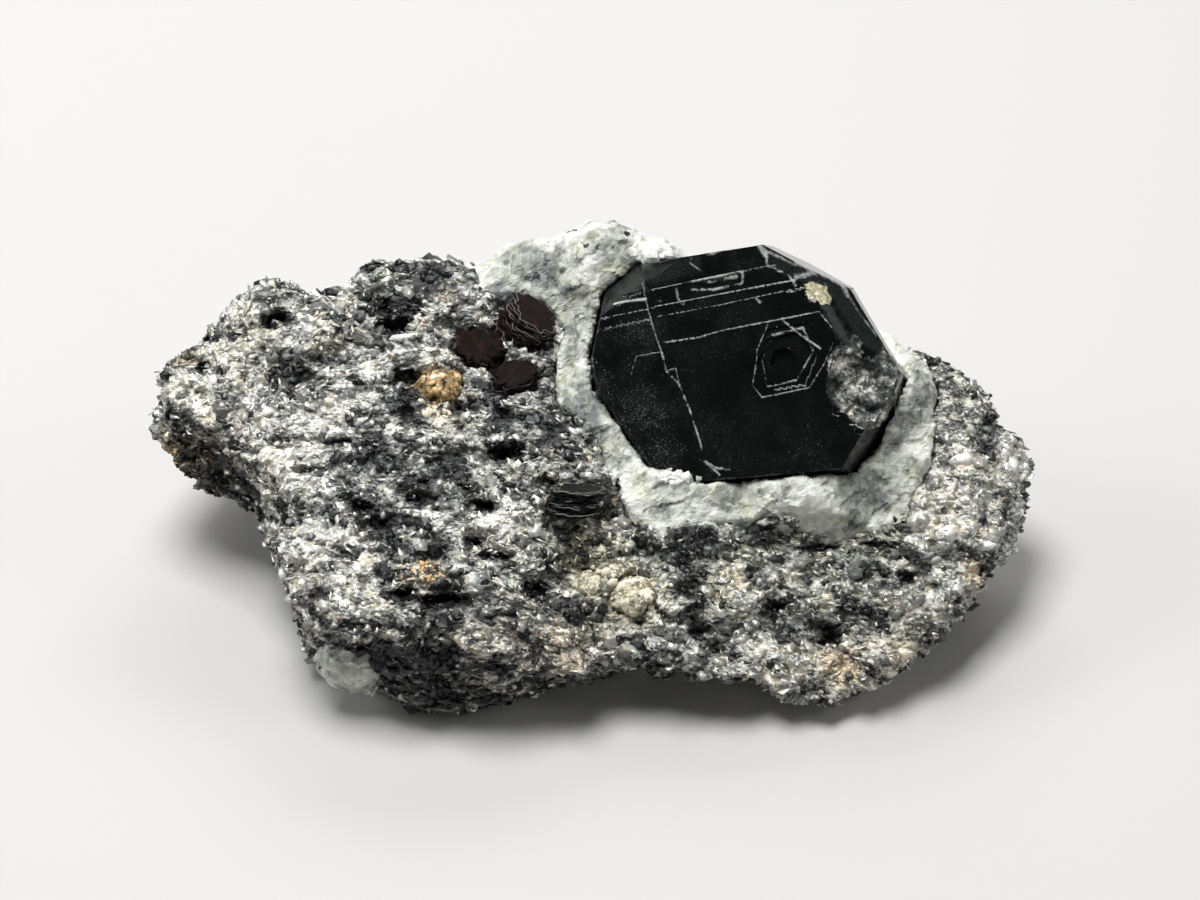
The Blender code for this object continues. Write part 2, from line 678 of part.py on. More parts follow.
def crystal_object(parts, cutters):
    """Make the crystal with its growth steps, hollows and broken corner."""
    crystal = add_object("sapphirine_crystal", crystal_mesh(0.0), parts)
    for distance, drop in GROWTH_STEPS:
        boolean(crystal, "DIFFERENCE", step_cutter(distance, drop, cutters))
    for centre, radius, depth, sides in HOLLOWS:
        boolean(crystal, "DIFFERENCE", hollow_cutter(centre, radius, depth, sides, cutters))
    boolean(crystal, "DIFFERENCE", break_cutter(cutters))
    crystal.data.transform(crystal_frame())
    return crystal


def crystal_socket(cutters):
    """Make the cutter that gives the crystal its place in the rock."""
    mesh = crystal_mesh(NODE_GAP)
    mesh.transform(crystal_frame())
    return as_cutter(add_object("crystal_socket", mesh, cutters))


def sheet_outline(half_size, shift, seed, grow):
    """Return the uneven outline of one mica sheet."""
    across, along, deep = SHEET_NOISE_STEPS
    points = []
    for corner in range(SHEET_CORNERS):
        angle = 2.0 * math.pi * corner / SHEET_CORNERS
        spot = Vector((corner * across, seed * along, deep))
        uneven = 1.0 + SHEET_UNEVENNESS * noise.noise(spot)
        x = shift[0] + (half_size[0] * uneven + grow) * math.cos(angle)
        y = shift[1] + (half_size[1] * uneven + grow) * math.sin(angle)
        points.append((x, y))
    return points


def facing_frame(centre, direction, rise, spin):
    """Return a frame at the centre whose Z looks along a direction and rise."""
    tilt = Matrix.Rotation(math.radians(90.0 - rise), 4, "Y")
    around = Matrix.Rotation(math.radians(direction), 4, "Z")
    turn = Matrix.Rotation(math.radians(spin), 4, "Z")
    return Matrix.Translation(Vector(centre) * MM) @ around @ tilt @ turn


def book_object(row, parts, cutters):
    """Make one mica book as a stack of sheets."""
    name, centre, facing, spin, half_size, sheets, shift = row
    frame = facing_frame(centre, *facing, spin)
    seed = BOOKS.index(row) * SHEETS_BETWEEN_BOOKS
    book = None
    for index in range(sheets):
        high = -index * SHEET_THICKNESS
        low = high - SHEET_THICKNESS - SHEET_OVERLAP
        offset = (shift[0] * index, shift[1] * index)
        points = sheet_outline(half_size, offset, seed + index, 0.0)
        if book is None:
            book = outline_prism(name, points, low, high, parts)
        else:
            boolean(book, "UNION", as_cutter(outline_prism("sheet", points, low, high, cutters)))
    book.data.transform(frame)
    return book


def book_socket(row, cutters):
    """Make the cutter that opens a place for a book."""
    centre, facing, spin, half_size, sheets, shift = row[1:]
    steps = 0.5 * (sheets - 1)
    middle = (shift[0] * steps, shift[1] * steps)
    spread = NODE_GAP + BOOK_MARGIN + steps * max(abs(shift[0]), abs(shift[1]))
    points = sheet_outline(half_size, middle, SOCKET_SHEET, spread)
    low = -sheets * SHEET_THICKNESS - SHEET_OVERLAP - NODE_GAP
    socket = outline_prism("book_socket", points, low, BOOK_HEADROOM, cutters)
    socket.data.transform(facing_frame(centre, *facing, spin))
    return as_cutter(socket)


def grain_object(row, parts):
    """Make one grain as an uneven broken lump."""
    name, centre, radii, seed = row
    mesh = lump_mesh((0.0, 0.0, 0.0), radii)
    offset = seed * GRAIN_SEED_STEP
    rough = GRAIN_ROUGHNESS * min(radii)
    displace(mesh, lambda point, normal: rough * chip_height(point + offset, GRAIN_CHIP))
    mesh.transform(Matrix.Translation(Vector(centre) * MM))
    grain = add_object(name, mesh, parts)
    decimate(grain, GRAIN_TRIANGLES)
    return grain


def finish_material(item):
    """Give the item its own plain material."""
    colour, roughness, metallic = FINISHES[item.name]
    material = bpy.data.materials.new(item.name + "_finish")
    material.use_nodes = True
    shader = material.node_tree.nodes["Principled BSDF"]
    shader.inputs["Base Color"].default_value = (*colour, 1.0)
    shader.inputs["Roughness"].default_value = roughness
    shader.inputs["Metallic"].default_value = metallic
    item.data.materials.clear()
    item.data.materials.append(material)


def centre_part(items):
    """Put the middle of the bottom of the whole part at the origin."""
    corners = [vertex.co for item in items for vertex in item.data.vertices]
    middle_x = 0.5 * (min(p.x for p in corners) + max(p.x for p in corners))
    middle_y = 0.5 * (min(p.y for p in corners) + max(p.y for p in corners))
    low = min(p.z for p in corners)
    shift = Matrix.Translation((-middle_x, -middle_y, -low))
    for item in items:
        item.data.transform(shift)


def main():
    """Build the specimen."""
    noise.seed_set(NOISE_SEED)
    for item in list(bpy.data.objects):
        bpy.data.objects.remove(item)
    parts = new_collection(PART_NAME)
    cutters = new_collection("cutters")
    rock = rock_object(parts, cutters)
    grains = [grain_object(row, parts) for row in GRAINS]
    books = [book_object(row, parts, cutters) for row in BOOKS]
    vein = split_vein(rock, parts, cutters)
    crystal = crystal_object(parts, cutters)
    socket = crystal_socket(cutters)
    boolean(vein, "DIFFERENCE", socket)
    boolean(rock, "DIFFERENCE", socket)
    for grain in grains:
        boolean(rock, "DIFFERENCE", swollen_copy(grain, NODE_GAP, cutters))
    for row in BOOKS:
        opening = book_socket(row, cutters)
        boolean(rock, "DIFFERENCE", opening)
        boolean(vein, "DIFFERENCE", opening)
    items = [rock, vein, crystal] + grains + books
    centre_part(items)
    for item in items:
        finish_material(item)


main()
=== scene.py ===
"""Finish and fine detail of a sapphirine crystal in feldspar on mica schist.

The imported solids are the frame. Each operator below dresses one of them: it
makes a fine mesh on the solid's own form, gives it a procedural finish, and
lets it stand for the solid. Sizes are in metres, and the rock's textures are
worked out in millimetres.
"""

import math

import bmesh
import bpy
import numpy as np
from bpy.props import FloatProperty, FloatVectorProperty, IntProperty, PointerProperty
from mathutils import Matrix, Vector, noise
from mathutils.bvhtree import BVHTree


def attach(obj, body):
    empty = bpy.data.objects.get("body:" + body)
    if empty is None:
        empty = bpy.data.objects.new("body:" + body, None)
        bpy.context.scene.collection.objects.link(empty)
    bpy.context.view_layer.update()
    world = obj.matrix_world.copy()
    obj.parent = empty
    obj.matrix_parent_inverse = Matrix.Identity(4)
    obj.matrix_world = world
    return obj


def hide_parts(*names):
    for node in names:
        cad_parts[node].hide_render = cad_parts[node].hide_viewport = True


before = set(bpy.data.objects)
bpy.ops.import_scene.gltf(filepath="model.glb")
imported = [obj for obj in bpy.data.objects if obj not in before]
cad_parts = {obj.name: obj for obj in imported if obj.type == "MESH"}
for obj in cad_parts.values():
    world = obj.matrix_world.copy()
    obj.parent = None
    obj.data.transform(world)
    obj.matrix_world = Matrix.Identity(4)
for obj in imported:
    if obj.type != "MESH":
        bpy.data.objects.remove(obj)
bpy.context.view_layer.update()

bl_info = {
    "name": "Sapphirine Specimen Finish",
    "version": (1, 0, 0),
    "blender": (4, 5, 0),
    "location": "3D View > Sidebar > Specimen",
    "description": "Dresses a sapphirine on mica schist specimen with fine relief and finishes",
    "category": "Object",
}

MM = 0.001
BODY = "root"
FULL_TURN = 2.0 * math.pi
TINY = 1e-9

# --- camera
# The camera looks along +Y and down. Places in its view are pixels of a
# 1200 by 900 frame, and VIEW_SCALE is pixels a millimetre at the aim.
VIEW_WIDTH = 1200
VIEW_MIDDLE = (600.0, 450.0)
VIEW_SCALE = 14.5
# How often a line of sight that misses a solid is brought nearer to its edge.
EDGE_STEPS = 8
CAMERA_AIM = Vector((0.673, -3.887, 13.6)) * MM
CAMERA_DISTANCE = 230.0 * MM
CAMERA_RISE = math.radians(40.0)
SENSOR_WIDTH = 36.0
LOOK = Vector((0.0, math.cos(CAMERA_RISE), -math.sin(CAMERA_RISE)))
LOOK_UP = Vector((0.0, math.sin(CAMERA_RISE), math.cos(CAMERA_RISE)))
LOOK_RIGHT = Vector((1.0, 0.0, 0.0))
CAMERA_PLACE = CAMERA_AIM - LOOK * CAMERA_DISTANCE

# --- schist
# Direction across the layers, how their streaks run, and how far patterns are
# stretched along the streaks, across them and through the layers.
LAYER_NORMAL = Vector((0.10, -0.16, 0.98)).normalized()
LAYER_STREAK = Vector((0.94, -0.34, 0.0))
LAYER_STRETCH = (1.9, 1.1, 0.62)
LAYER_ACROSS = LAYER_NORMAL.cross(LAYER_STREAK).normalized()
LAYER_ALONG = LAYER_ACROSS.cross(LAYER_NORMAL)
LAYER_TURN = Matrix((LAYER_ALONG, LAYER_ACROSS, LAYER_NORMAL)).transposed()
LAYER_SPACE = Matrix.Diagonal([1.0 / stretch for stretch in LAYER_STRETCH]) @ LAYER_TURN.transposed()
# Below this height, in millimetres, the relief fades out towards the flat foot.
FOOT_HEIGHT = 0.35

# Rock tones from darkest to lightest, as a place on the scale and a colour.
TONES = (
    (0.00, (0.006, 0.007, 0.007)),
    (0.20, (0.022, 0.024, 0.025)),
    (0.38, (0.095, 0.102, 0.102)),
    (0.56, (0.290, 0.300, 0.290)),
    (0.76, (0.580, 0.585, 0.560)),
    (1.00, (0.900, 0.900, 0.870)),
)

# Areas of the schist that are lighter, darker or tinted: place in the view,
# radius in millimetres, change of tone, warm tint and green tint.
AREAS = (
    ((276, 463), 2.6, 0.3, 0.05, 0.0), ((180, 386), 1.3, 0.35, 0.05, 0.0),
    ((188, 359), 0.9, 0.15, 0.65, 0.0), ((203, 408), 1.0, 0.35, 0.12, 0.0),
    ((240, 315), 1.8, 0.22, 0.08, 0.0), ((345, 305), 1.8, 0.28, 0.0, 0.0),
    ((250, 341), 2.2, 0.12, 0.22, 0.1), ((330, 337), 1.2, 0.1, 0.3, 0.1),
    ((385, 290), 3.0, -0.18, 0.0, 0.1), ((330, 405), 1.6, 0.2, 0.0, 0.0),
    ((441, 412), 1.5, 0.28, 0.35, 0.0), ((440, 372), 1.4, 0.1, 0.35, 0.0),
    ((490, 524), 1.5, 0.3, 0.05, 0.0), ((427, 572), 1.2, 0.1, 0.55, 0.0),
    ((300, 560), 2.6, 0.12, 0.05, 0.0), ((350, 590), 3.0, 0.12, 0.05, 0.0),
    ((480, 640), 3.0, 0.08, 0.12, 0.0), ((565, 650), 2.6, 0.12, 0.35, 0.0),
    ((610, 585), 3.4, 0.2, 0.18, 0.35), ((575, 548), 1.6, -0.05, 0.25, 0.5),
    ((735, 567), 1.3, 0.32, 0.1, 0.1), ((780, 545), 5.0, -0.02, 0.0, 0.14),
    ((700, 575), 3.0, -0.03, 0.0, 0.1), ((870, 560), 3.6, 0.0, 0.0, 0.2),
    ((775, 535), 1.5, -0.18, 0.0, 0.1), ((815, 525), 1.7, -0.22, 0.0, 0.1),
    ((860, 520), 1.7, -0.22, 0.0, 0.1), ((895, 530), 1.3, -0.16, 0.0, 0.1),
    ((745, 560), 1.3, -0.14, 0.0, 0.1), ((830, 600), 1.4, -0.12, 0.0, 0.1),
    ((720, 600), 1.6, 0.12, 0.0, 0.1), ((700, 545), 1.2, -0.12, 0.0, 0.1),
    ((760, 665), 4.0, 0.16, 0.05, 0.1), ((838, 668), 1.5, 0.15, 0.7, 0.0),
    ((900, 650), 2.6, 0.08, 0.25, 0.1), ((975, 570), 1.1, 0.05, 0.6, 0.0),
    ((960, 470), 3.6, 0.28, 0.03, 0.0), ((935, 525), 2.6, 0.26, 0.03, 0.0),
    ((1008, 465), 2.4, 0.32, 0.02, 0.0), ((944, 395), 1.8, -0.2, 0.0, 0.2),
    ((580, 505), 2.4, -0.14, 0.05, 0.0), ((500, 440), 4.0, -0.1, 0.0, 0.1),
    # Painted shade on the lower front side: the darker areas at (400, 650) and (460, 680) here and at (350,
    # 665) on the next line.
    ((400, 650), 4.5, -0.22, 0.05, 0.0), ((460, 680), 5.0, -0.26, 0.05, 0.0),
    ((350, 665), 3.0, -0.2, 0.05, 0.0), ((178, 460), 1.8, -0.1, 0.95, 0.1),
    # Painted shade under the left overhang: the darker areas at (205, 470) and (240, 470) here and at (178,
    # 460) on the line above; their warm and green tints are the rock's own rust and olive.
    ((205, 470), 2.6, -0.28, 0.45, 0.2), ((240, 470), 3.0, -0.25, 0.1, 0.0),
)

# Pits in the schist: place, half width and half height in the view, and
# depth in millimetres.
PITS = (
    ((277, 320), (17, 11), 1.2), ((205, 340), (13, 8), 0.9), ((204, 369), (9, 8), 0.8),
    ((385, 308), (13, 10), 0.9), ((395, 327), (22, 10), 1.3), ((405, 375), (16, 12), 0.9),
    ((306, 377), (12, 8), 0.7), ((277, 374), (7, 6), 0.6), ((221, 372), (7, 6), 0.6),
    ((459, 410), (11, 9), 0.8), ((503, 415), (12, 8), 0.8), ((406, 415), (10, 8), 0.8),
    ((507, 452), (22, 11), 1.2), ((363, 509), (16, 9), 1.0), ((379, 522), (13, 8), 0.9),
    ((421, 500), (16, 9), 0.9), ((483, 507), (20, 7), 1.1), ((545, 484), (12, 9), 0.9),
    ((475, 541), (12, 7), 0.8), ((497, 556), (20, 6), 0.9), ((405, 593), (14, 7), 0.9),
    ((447, 601), (28, 8), 1.2), ((459, 577), (12, 6), 0.7), ((535, 591), (14, 9), 0.9),
    ((829, 636), (14, 12), 1.1), ((701, 630), (14, 8), 0.8), ((690, 588), (12, 9), 0.7),
    ((312, 411), (8, 5), 0.5), ((385, 310), (10, 8), 0.5), ((250, 452), (14, 4), 0.6),
    ((340, 443), (18, 5), 0.7), ((308, 472), (20, 5), 0.6), ((560, 395), (8, 6), 0.5),
    ((640, 622), (9, 5), 0.5), ((775, 606), (13, 6), 0.6), ((905, 578), (10, 7), 0.6),
    ((846, 612), (12, 5), 0.6), ((880, 545), (22, 4), 0.6), ((820, 548), (20, 4), 0.6),
)

# Bright spots of the schist: place in the view, radius in millimetres and
# lift of the tone.
BRIGHT_SPOTS = (
    ((961, 461), 0.88, 0.55), ((919, 528), 0.76, 0.6), ((948, 531), 0.68, 0.5), ((983, 547), 0.8, 0.6),
    ((1013, 464), 0.68, 0.5), ((912, 497), 0.48, 0.45), ((939, 478), 0.56, 0.45), ((955, 505), 0.64, 0.4),
    ((405, 337), 0.48, 0.45), ((392, 341), 0.48, 0.45), ((420, 333), 0.48, 0.4), ((328, 402), 0.52, 0.6),
    ((370, 399), 0.68, 0.5), ((268, 413), 0.56, 0.5), ((328, 432), 0.52, 0.55), ((307, 445), 0.4, 0.55),
    ((347, 446), 0.44, 0.4), ((205, 413), 0.56, 0.55), ((282, 460), 0.72, 0.45), ((290, 480), 0.64, 0.45),
    ((265, 451), 0.6, 0.4), ((484, 525), 0.48, 0.6), ((505, 520), 0.4, 0.55), ((283, 574), 0.56, 0.6),
    ((364, 489), 0.64, 0.35), ((478, 366), 0.4, 0.6), ((466, 361), 0.36, 0.6), ((490, 371), 0.36, 0.55),
    ((560, 632), 0.4, 0.5), ((470, 628), 0.72, 0.3), ((330, 612), 0.64, 0.35), ((740, 640), 0.64, 0.35),
    ((790, 665), 0.64, 0.35), ((930, 600), 0.44, 0.45), ((905, 655), 0.48, 0.4), ((345, 300), 0.64, 0.4),
    ((240, 313), 0.64, 0.4), ((735, 567), 0.6, 0.4), ((172, 389), 0.56, 0.5), ((300, 590), 0.64, 0.35),
    ((560, 596), 0.72, 0.3), ((682, 606), 0.4, 0.4), ((452, 340), 0.48, 0.3), ((437, 425), 0.56, 0.4),
)

# Single flat plates: place in the view, half length and half width in
# millimetres, and tone.
FLAT_PLATES = (
    ((275, 356), (0.85, 0.95), 0.5), ((405, 338), (1.55, 0.4), 0.86), ((961, 461), (1.05, 0.75), 0.97),
    ((919, 528), (0.9, 0.55), 0.97), ((983, 546), (1.15, 0.4), 1.0), ((1013, 466), (0.6, 0.9), 0.88),
    ((948, 533), (0.65, 0.75), 0.9), ((478, 366), (1.05, 0.25), 0.98), ((970, 430), (0.6, 0.55), 0.7),
    ((328, 402), (0.55, 0.42), 0.98), ((268, 413), (0.55, 0.45), 0.92), ((484, 526), (0.7, 0.28), 0.98),
    ((283, 575), (0.4, 0.62), 0.95), ((205, 413), (0.52, 0.42), 0.94), ((395, 372), (0.8, 0.65), 0.12),
    ((560, 632), (0.5, 0.16), 0.98), ((306, 377), (0.55, 0.45), 0.14), ((844, 630), (0.8, 0.65), 0.06),
    ((936, 560), (0.5, 0.4), 0.62), ((776, 560), (0.9, 0.45), 0.1), ((432, 280), (0.7, 0.55), 0.08),
)

# --- mesh making
# How near a solid's split points are joined, in metres, and how far and how
# often facets are softened.
WELD_DISTANCE = 1e-6
SOFTENING_FACTOR = 0.5
ROCK_SOFTENING = 3
GRAIN_SOFTENING = 4
# Maps for baking: name, steepest fold and margin, and how much of the way from
# the middle of its cell to the edge a small body takes.
BAKE_MAP = "OFBake"
BAKE_FOLD = math.radians(66.0)
BAKE_MARGIN = 0.002
BAKE_FILL = 0.45
# Patterns of chips: how far apart the numbers of two chips are taken, and the
# shift of a pattern's second and third axis for a shift of 1 along the first.
CELL_SPREAD = 41.0
SEED_SHIFTS = (0.7, 1.3)

# --- schist relief
# In millimetres: how far the whole surface moves out, its chips, each with a
# size, a seed and a relief, the height, length, wander and relief of its
# ledges, and how far along the line of sight a pit reaches.
ROCK_SWELL = 0.14
SCHIST_CHIPS = ((1.0, 0.0, 0.3), (0.45, 5.0, 0.14))
LEDGE_HEIGHT = 0.85
LEDGE_LENGTH = 3.2
LEDGE_WANDER = 0.9
LEDGE_RELIEF = 0.36
PIT_REACH = 2.5
# Tones run from 0, black mica, to 1, white feldspar. Waves have a size and a
# strength, and chips have a size, a seed and a strength.
MIDDLE_TONE = 0.595
TONE_WAVES = ((3.1, 0.34), (1.25, 0.2))
TONE_CHIPS = ((1.0, 0.0, 0.3), (0.45, 5.0, 0.34))
# Clusters of dark mica: size, shift of their pattern, the level at which they
# begin, the step to their full darkness, and that darkness.
CLUSTER_SIZE = 1.35
CLUSTER_SHIFT = Vector((7.0, 3.0, 1.0))
CLUSTER_START = 0.16
CLUSTER_STEP = 0.12
CLUSTER_DARKNESS = 0.30
# How much painted shade darkens faces that look down and the bottoms of pits.
UNDERSIDE_PAINTED_SHADE = 0.16
PIT_PAINTED_SHADE = 0.40
# The least warm tint, then the warm grains: size, seed, share of grains that
# stay grey, strength, and size and middle of the patches that they gather in.
WARM_TINT_BASE = 0.02
WARM_GRAIN_SIZE = 0.9
WARM_GRAIN_SEED = 11.0
WARM_GRAIN_START = 0.80
WARM_GRAIN_STRENGTH = 1.6
WARM_PATCH_SIZE = 4.0
WARM_PATCH_MIDDLE = 0.4

# --- plates and crumbs
# Plates: corners, size of the lower face as a share of the upper one, stray of
# the corners round the plate and outwards, and stray from the streaks.
PLATE_CORNERS = 5
PLATE_TAPER = 0.8
PLATE_STRAY = 0.35
PLATE_REACH = (0.72, 1.12)
STREAK_SPREAD = 0.55
# How low a plate or crumb may lie, and the room that they leave round the
# solids that stay clean, in millimetres.
PLATE_FLOOR = 0.60
PLATE_CLEARANCE = 0.42
# Seed, places drawn for each plate wanted, spread of the lengths and their
# limits as shares of the usual one, how far a plate follows the layers and how
# it strays, how it stands out, how mixed light and dark plates are, and the
# share of the rock's warmth that they take.
PLATE_SEED = 11
PLATE_SPARES = 1.7
PLATE_LENGTH_SPREAD = 0.50
PLATE_LENGTH_RANGE = (0.45, 2.6)
PLATE_LAYER_SHARE = (0.1, 0.9)
PLATE_TILT = 0.26
PLATE_RISE = 0.3
PLATE_SHUFFLE = 0.23
PLATE_WARMTH = 0.6
# Single plates: corners, thickness in millimetres, size as a share of the
# listed one, stray of the corners round the plate and outwards, stray of turn
# and tilt, how far they follow the rock and face the camera, and how much of
# their thickness they stand out.
SLAB_CORNERS = 6
SLAB_THICKNESS = 0.24
SLAB_SHRINK = 0.82
SLAB_STRAY = 0.25
SLAB_REACH = (0.68, 1.18)
SLAB_TURN = 0.15
SLAB_TILT = 0.12
SLAB_SHARES = (0.6, 0.5)
SLAB_RISE = 0.1
# Kinds of loose plates: name, change of tone, usual half length, narrowest
# and widest shape, thinnest and thickest shape, and spread of the tones.
PLATE_KINDS = (
    ("silver_mica", 0.08, 0.3, (0.45, 0.95), (0.05, 0.2), 0.2),
    ("silver_flakes", 0.16, 0.24, (0.14, 0.42), (0.07, 0.18), 0.2),
    ("dark_mica", -0.12, 0.27, (0.45, 0.95), (0.05, 0.2), 0.15),
)
# Crumbs: seed, places drawn for each one wanted, usual radius in millimetres,
# its spread and limits, and unevenness and squeeze of the ball.
CRUMB_SEED = 23
CRUMB_SPARES = 2.6
CRUMB_RADIUS = 0.15
CRUMB_SPREAD = 0.38
CRUMB_RANGE = (0.07, 0.38)
CRUMB_UNEVENNESS = (0.72, 1.15)
CRUMB_SQUEEZE = (0.35, 1.2)
# How likely a crumb is on a tone: slope, level and lowest share. Then the
# crumb's own tone: level, share of the rock's tone, spread and darkest tone.
CRUMB_CHANCE = (1.5, -0.25, 0.05)
CRUMB_TONE = (0.55, 0.4, 0.16, 0.2)
# Extra warmth of a crumb and how often each happens.
CRUMB_WARMTH = (0.0, 0.05, 0.35)
CRUMB_WARMTH_SHARES = (0.6, 0.3, 0.1)
# Solids that the schist's plates and crumbs keep clear of.
CLEAN_NODES = (
    "feldspar_vein", "feldspar_corner", "sapphirine_crystal", "mica_book_upper", "mica_book_left",
    "mica_book_lower", "cream_grain_large", "cream_grain_small",
)

# --- vein
# In millimetres: how far the surface moves out, its chips, each with a size, a
# seed and a relief, and a sugary wave with a size and a relief.
VEIN_SWELL = 0.15
VEIN_CHIPS = ((1.7, 2.0, 0.24), (0.8, 6.0, 0.13))
VEIN_SUGAR = (0.45, 0.07)
# Cloudiness: waves with a size, a shift and a strength, and grains with a
# size, a seed and a strength.
VEIN_CLOUD = 0.30
CLOUD_WAVES = ((3.4, (1.0, 8.0, 2.0), 0.6), (1.3, (4.0, 2.0, 6.0), 0.3))
CLOUD_GRAINS = (0.9, 3.0, 0.34)
# The crust on the block's corner: size and relief of its chips, and middle, strength, size and shift of its
# clearness and its dark stains. The raised clearness greys the crust as painted shade.
CRUST_CHIPS = (1.1, 0.16)
CRUST_LOOKS = {
    "clear": (0.52, 0.5, 1.3, (0.0, 0.0, 0.0)),
    "speck": (0.05, 0.7, 0.9, (3.0, 0.0, 5.0)),
}
# Dark specks in the vein: place in the view and radius in millimetres.
SPECKS = (
    ((598, 248), 0.35), ((586, 246), 0.29), ((588, 251), 0.2), ((583, 243), 0.19), ((566, 309), 0.35),
    ((573, 232), 0.43), ((569, 230), 0.29), ((592, 264), 0.25), ((627, 234), 0.32), ((546, 265), 0.32),
    ((536, 277), 0.43), ((528, 279), 0.32), ((548, 262), 0.23), ((583, 317), 0.2), ((600, 238), 0.17),
)
# Greyer, clearer areas of the vein: place in the view, radius in millimetres
# and amount.
CLEAR_AREAS = (
    ((578, 410), 2.2, 0.65), ((556, 385), 1.6, 0.55), ((590, 440), 1.8, 0.45), ((700, 492), 2.6, 0.2),
    ((760, 500), 2.6, 0.22), ((905, 400), 2.4, 0.32), ((880, 450), 3.0, 0.36), ((925, 375), 1.8, 0.45),
    ((505, 285), 1.8, 0.25), ((545, 285), 2.2, 0.35), ((590, 305), 2.0, 0.28), ((560, 300), 1.4, 0.3),
    ((850, 500), 2.6, 0.26), ((826, 478), 1.8, 0.26), ((540, 262), 2.4, 0.3), ((600, 262), 2.2, 0.25),
    ((500, 262), 1.8, 0.3), ((620, 240), 1.6, 0.25),
)

# --- crystal
# The crystal's own frame: X to the right along its front face, Y up it and Z
# out of it. The growth lines are drawn in that frame, in millimetres.
CRYSTAL_CENTRE = Vector((9.123, 0.913, 17.0))
CRYSTAL_TURN = math.radians(17.0)
CRYSTAL_RISE = math.radians(45.0)
CRYSTAL_RIGHT = Vector((math.cos(CRYSTAL_TURN), -math.sin(CRYSTAL_TURN), 0.0))
CRYSTAL_OUT = Vector((
    -math.sin(CRYSTAL_TURN) * math.cos(CRYSTAL_RISE),
    -math.cos(CRYSTAL_TURN) * math.cos(CRYSTAL_RISE),
    math.sin(CRYSTAL_RISE),
))
CRYSTAL_UP = CRYSTAL_OUT.cross(CRYSTAL_RIGHT)
CRYSTAL_AXES = Matrix((CRYSTAL_RIGHT, CRYSTAL_UP, CRYSTAL_OUT)).transposed()
CRYSTAL_FRAME = Matrix.Translation(CRYSTAL_CENTRE * MM) @ CRYSTAL_AXES.to_4x4() @ Matrix.Scale(MM, 4)
# Scratches: how they run on the front face, and their length, width and depth.
STREAK_TURN = math.radians(21.0)
STREAK_STRETCH = (1.9, 0.11, 0.4)
CRYSTAL_STREAKS = CRYSTAL_AXES @ Matrix.Rotation(STREAK_TURN, 3, "Z")

# Pale marks along the growth steps on the front face, part broken edge and part painted highlight where a
# step faces the light: points, strength, half width and how far the edge stands up from the face.
GROWTH_LINES = (
    (((-6.2, 4.5), (-3.5, 5.6), (1.5, 7.6)), 0.62, 0.06, 0.02),
    (((-5.6, 3.4), (-1.2, 5.1), (3.8, 7.0)), 0.85, 0.055, 0.02),
    (((-5.3, 2.7), (-1.1, 4.3), (3.2, 6.1)), 0.66, 0.045, 0.02),
    (((-4.4, 1.0), (-2.0, 1.8), (-0.7, 2.5), (3.4, 4.1), (5.9, 5.1), (7.2, 4.0)), 0.8, 0.06, 0.025),
    (((-8.6, 3.1), (-6.4, 3.8)), 1.0, 0.11, 0.025),
    (((-8.4, 2.2), (-6.0, 3.1)), 0.7, 0.06, 0.02),
    (((-6.3, -2.5), (-6.1, -0.3), (-4.5, 0.3)), 0.52, 0.055, 0.015),
    (((3.4, 4.1), (4.9, 3.3), (6.5, 2.6)), 0.85, 0.085, 0.025),
    (((7.3, 3.1), (7.0, 1.7), (6.3, -0.2)), 0.78, 0.075, 0.025),
    (((6.3, -0.2), (3.2, -1.5), (2.4, -0.8), (2.2, 1.7), (2.6, 3.8)), 0.62, 0.065, 0.02),
    (((3.0, 2.9), (5.0, 3.8), (6.0, 2.4)), 0.66, 0.11, 0.02),
    (((6.0, 2.4), (5.3, 0.2), (3.4, -0.7)), 0.72, 0.08, 0.02),
    (((3.4, -0.7), (2.6, 1.1), (3.0, 2.9)), 0.44, 0.07, 0.015),
    (((-7.0, 5.0), (-6.0, 3.0), (-5.1, 1.4), (-4.4, 0.3)), 0.62, 0.075, -0.04),
    (((-4.4, 0.3), (-3.8, -0.9), (-2.7, -1.7), (-1.6, -3.3)), 0.7, 0.105, -0.05),
    (((-3.8, -0.9), (-3.2, -0.6), (-2.7, -1.7)), 0.55, 0.08, -0.03),
    (((-1.6, -3.3), (-0.5, -5.2), (0.2, -6.6), (1.4, -7.3)), 0.7, 0.095, -0.05),
    (((0.2, -6.6), (1.0, -6.9), (2.0, -6.8)), 0.66, 0.14, -0.02),
    (((-4.0, -1.1), (-4.3, -2.6), (-4.1, -4.4)), 0.34, 0.055, 0.0),
    (((-6.0, 4.6), (-5.7, 3.9), (-5.2, 3.8)), 0.6, 0.13, 0.015),
    (((-4.4, 4.9), (-4.1, 4.2), (-3.6, 3.9)), 0.55, 0.15, 0.015),
    (((-3.9, 7.3), (-3.9, 6.9), (-2.8, 6.4)), 0.55, 0.085, 0.015),
    (((-3.4, 5.6), (-2.2, 6.1), (0.0, 6.9), (0.1, 6.1), (-1.8, 5.3), (-3.3, 5.0)), 0.72, 0.13, 0.025),
    (((-2.6, 5.7), (-0.4, 6.5)), 0.62, 0.21, 0.025),
    (((1.4, 5.2), (1.7, 5.0)), 0.95, 0.12, 0.02),
    (((1.6, 4.2), (3.4, 4.9)), 0.22, 0.05, 0.0),
    (((-8.2, -1.6), (-7.4, -3.4)), 0.34, 0.1, 0.0),
    (((-6.6, -4.4), (-3.2, -8.0)), 0.34, 0.17, 0.0),
    (((-5.6, -4.6), (-3.8, -7.6)), 0.26, 0.14, 0.0),
    (((2.0, -4.6), (2.2, -6.0)), 0.22, 0.05, 0.0),
)
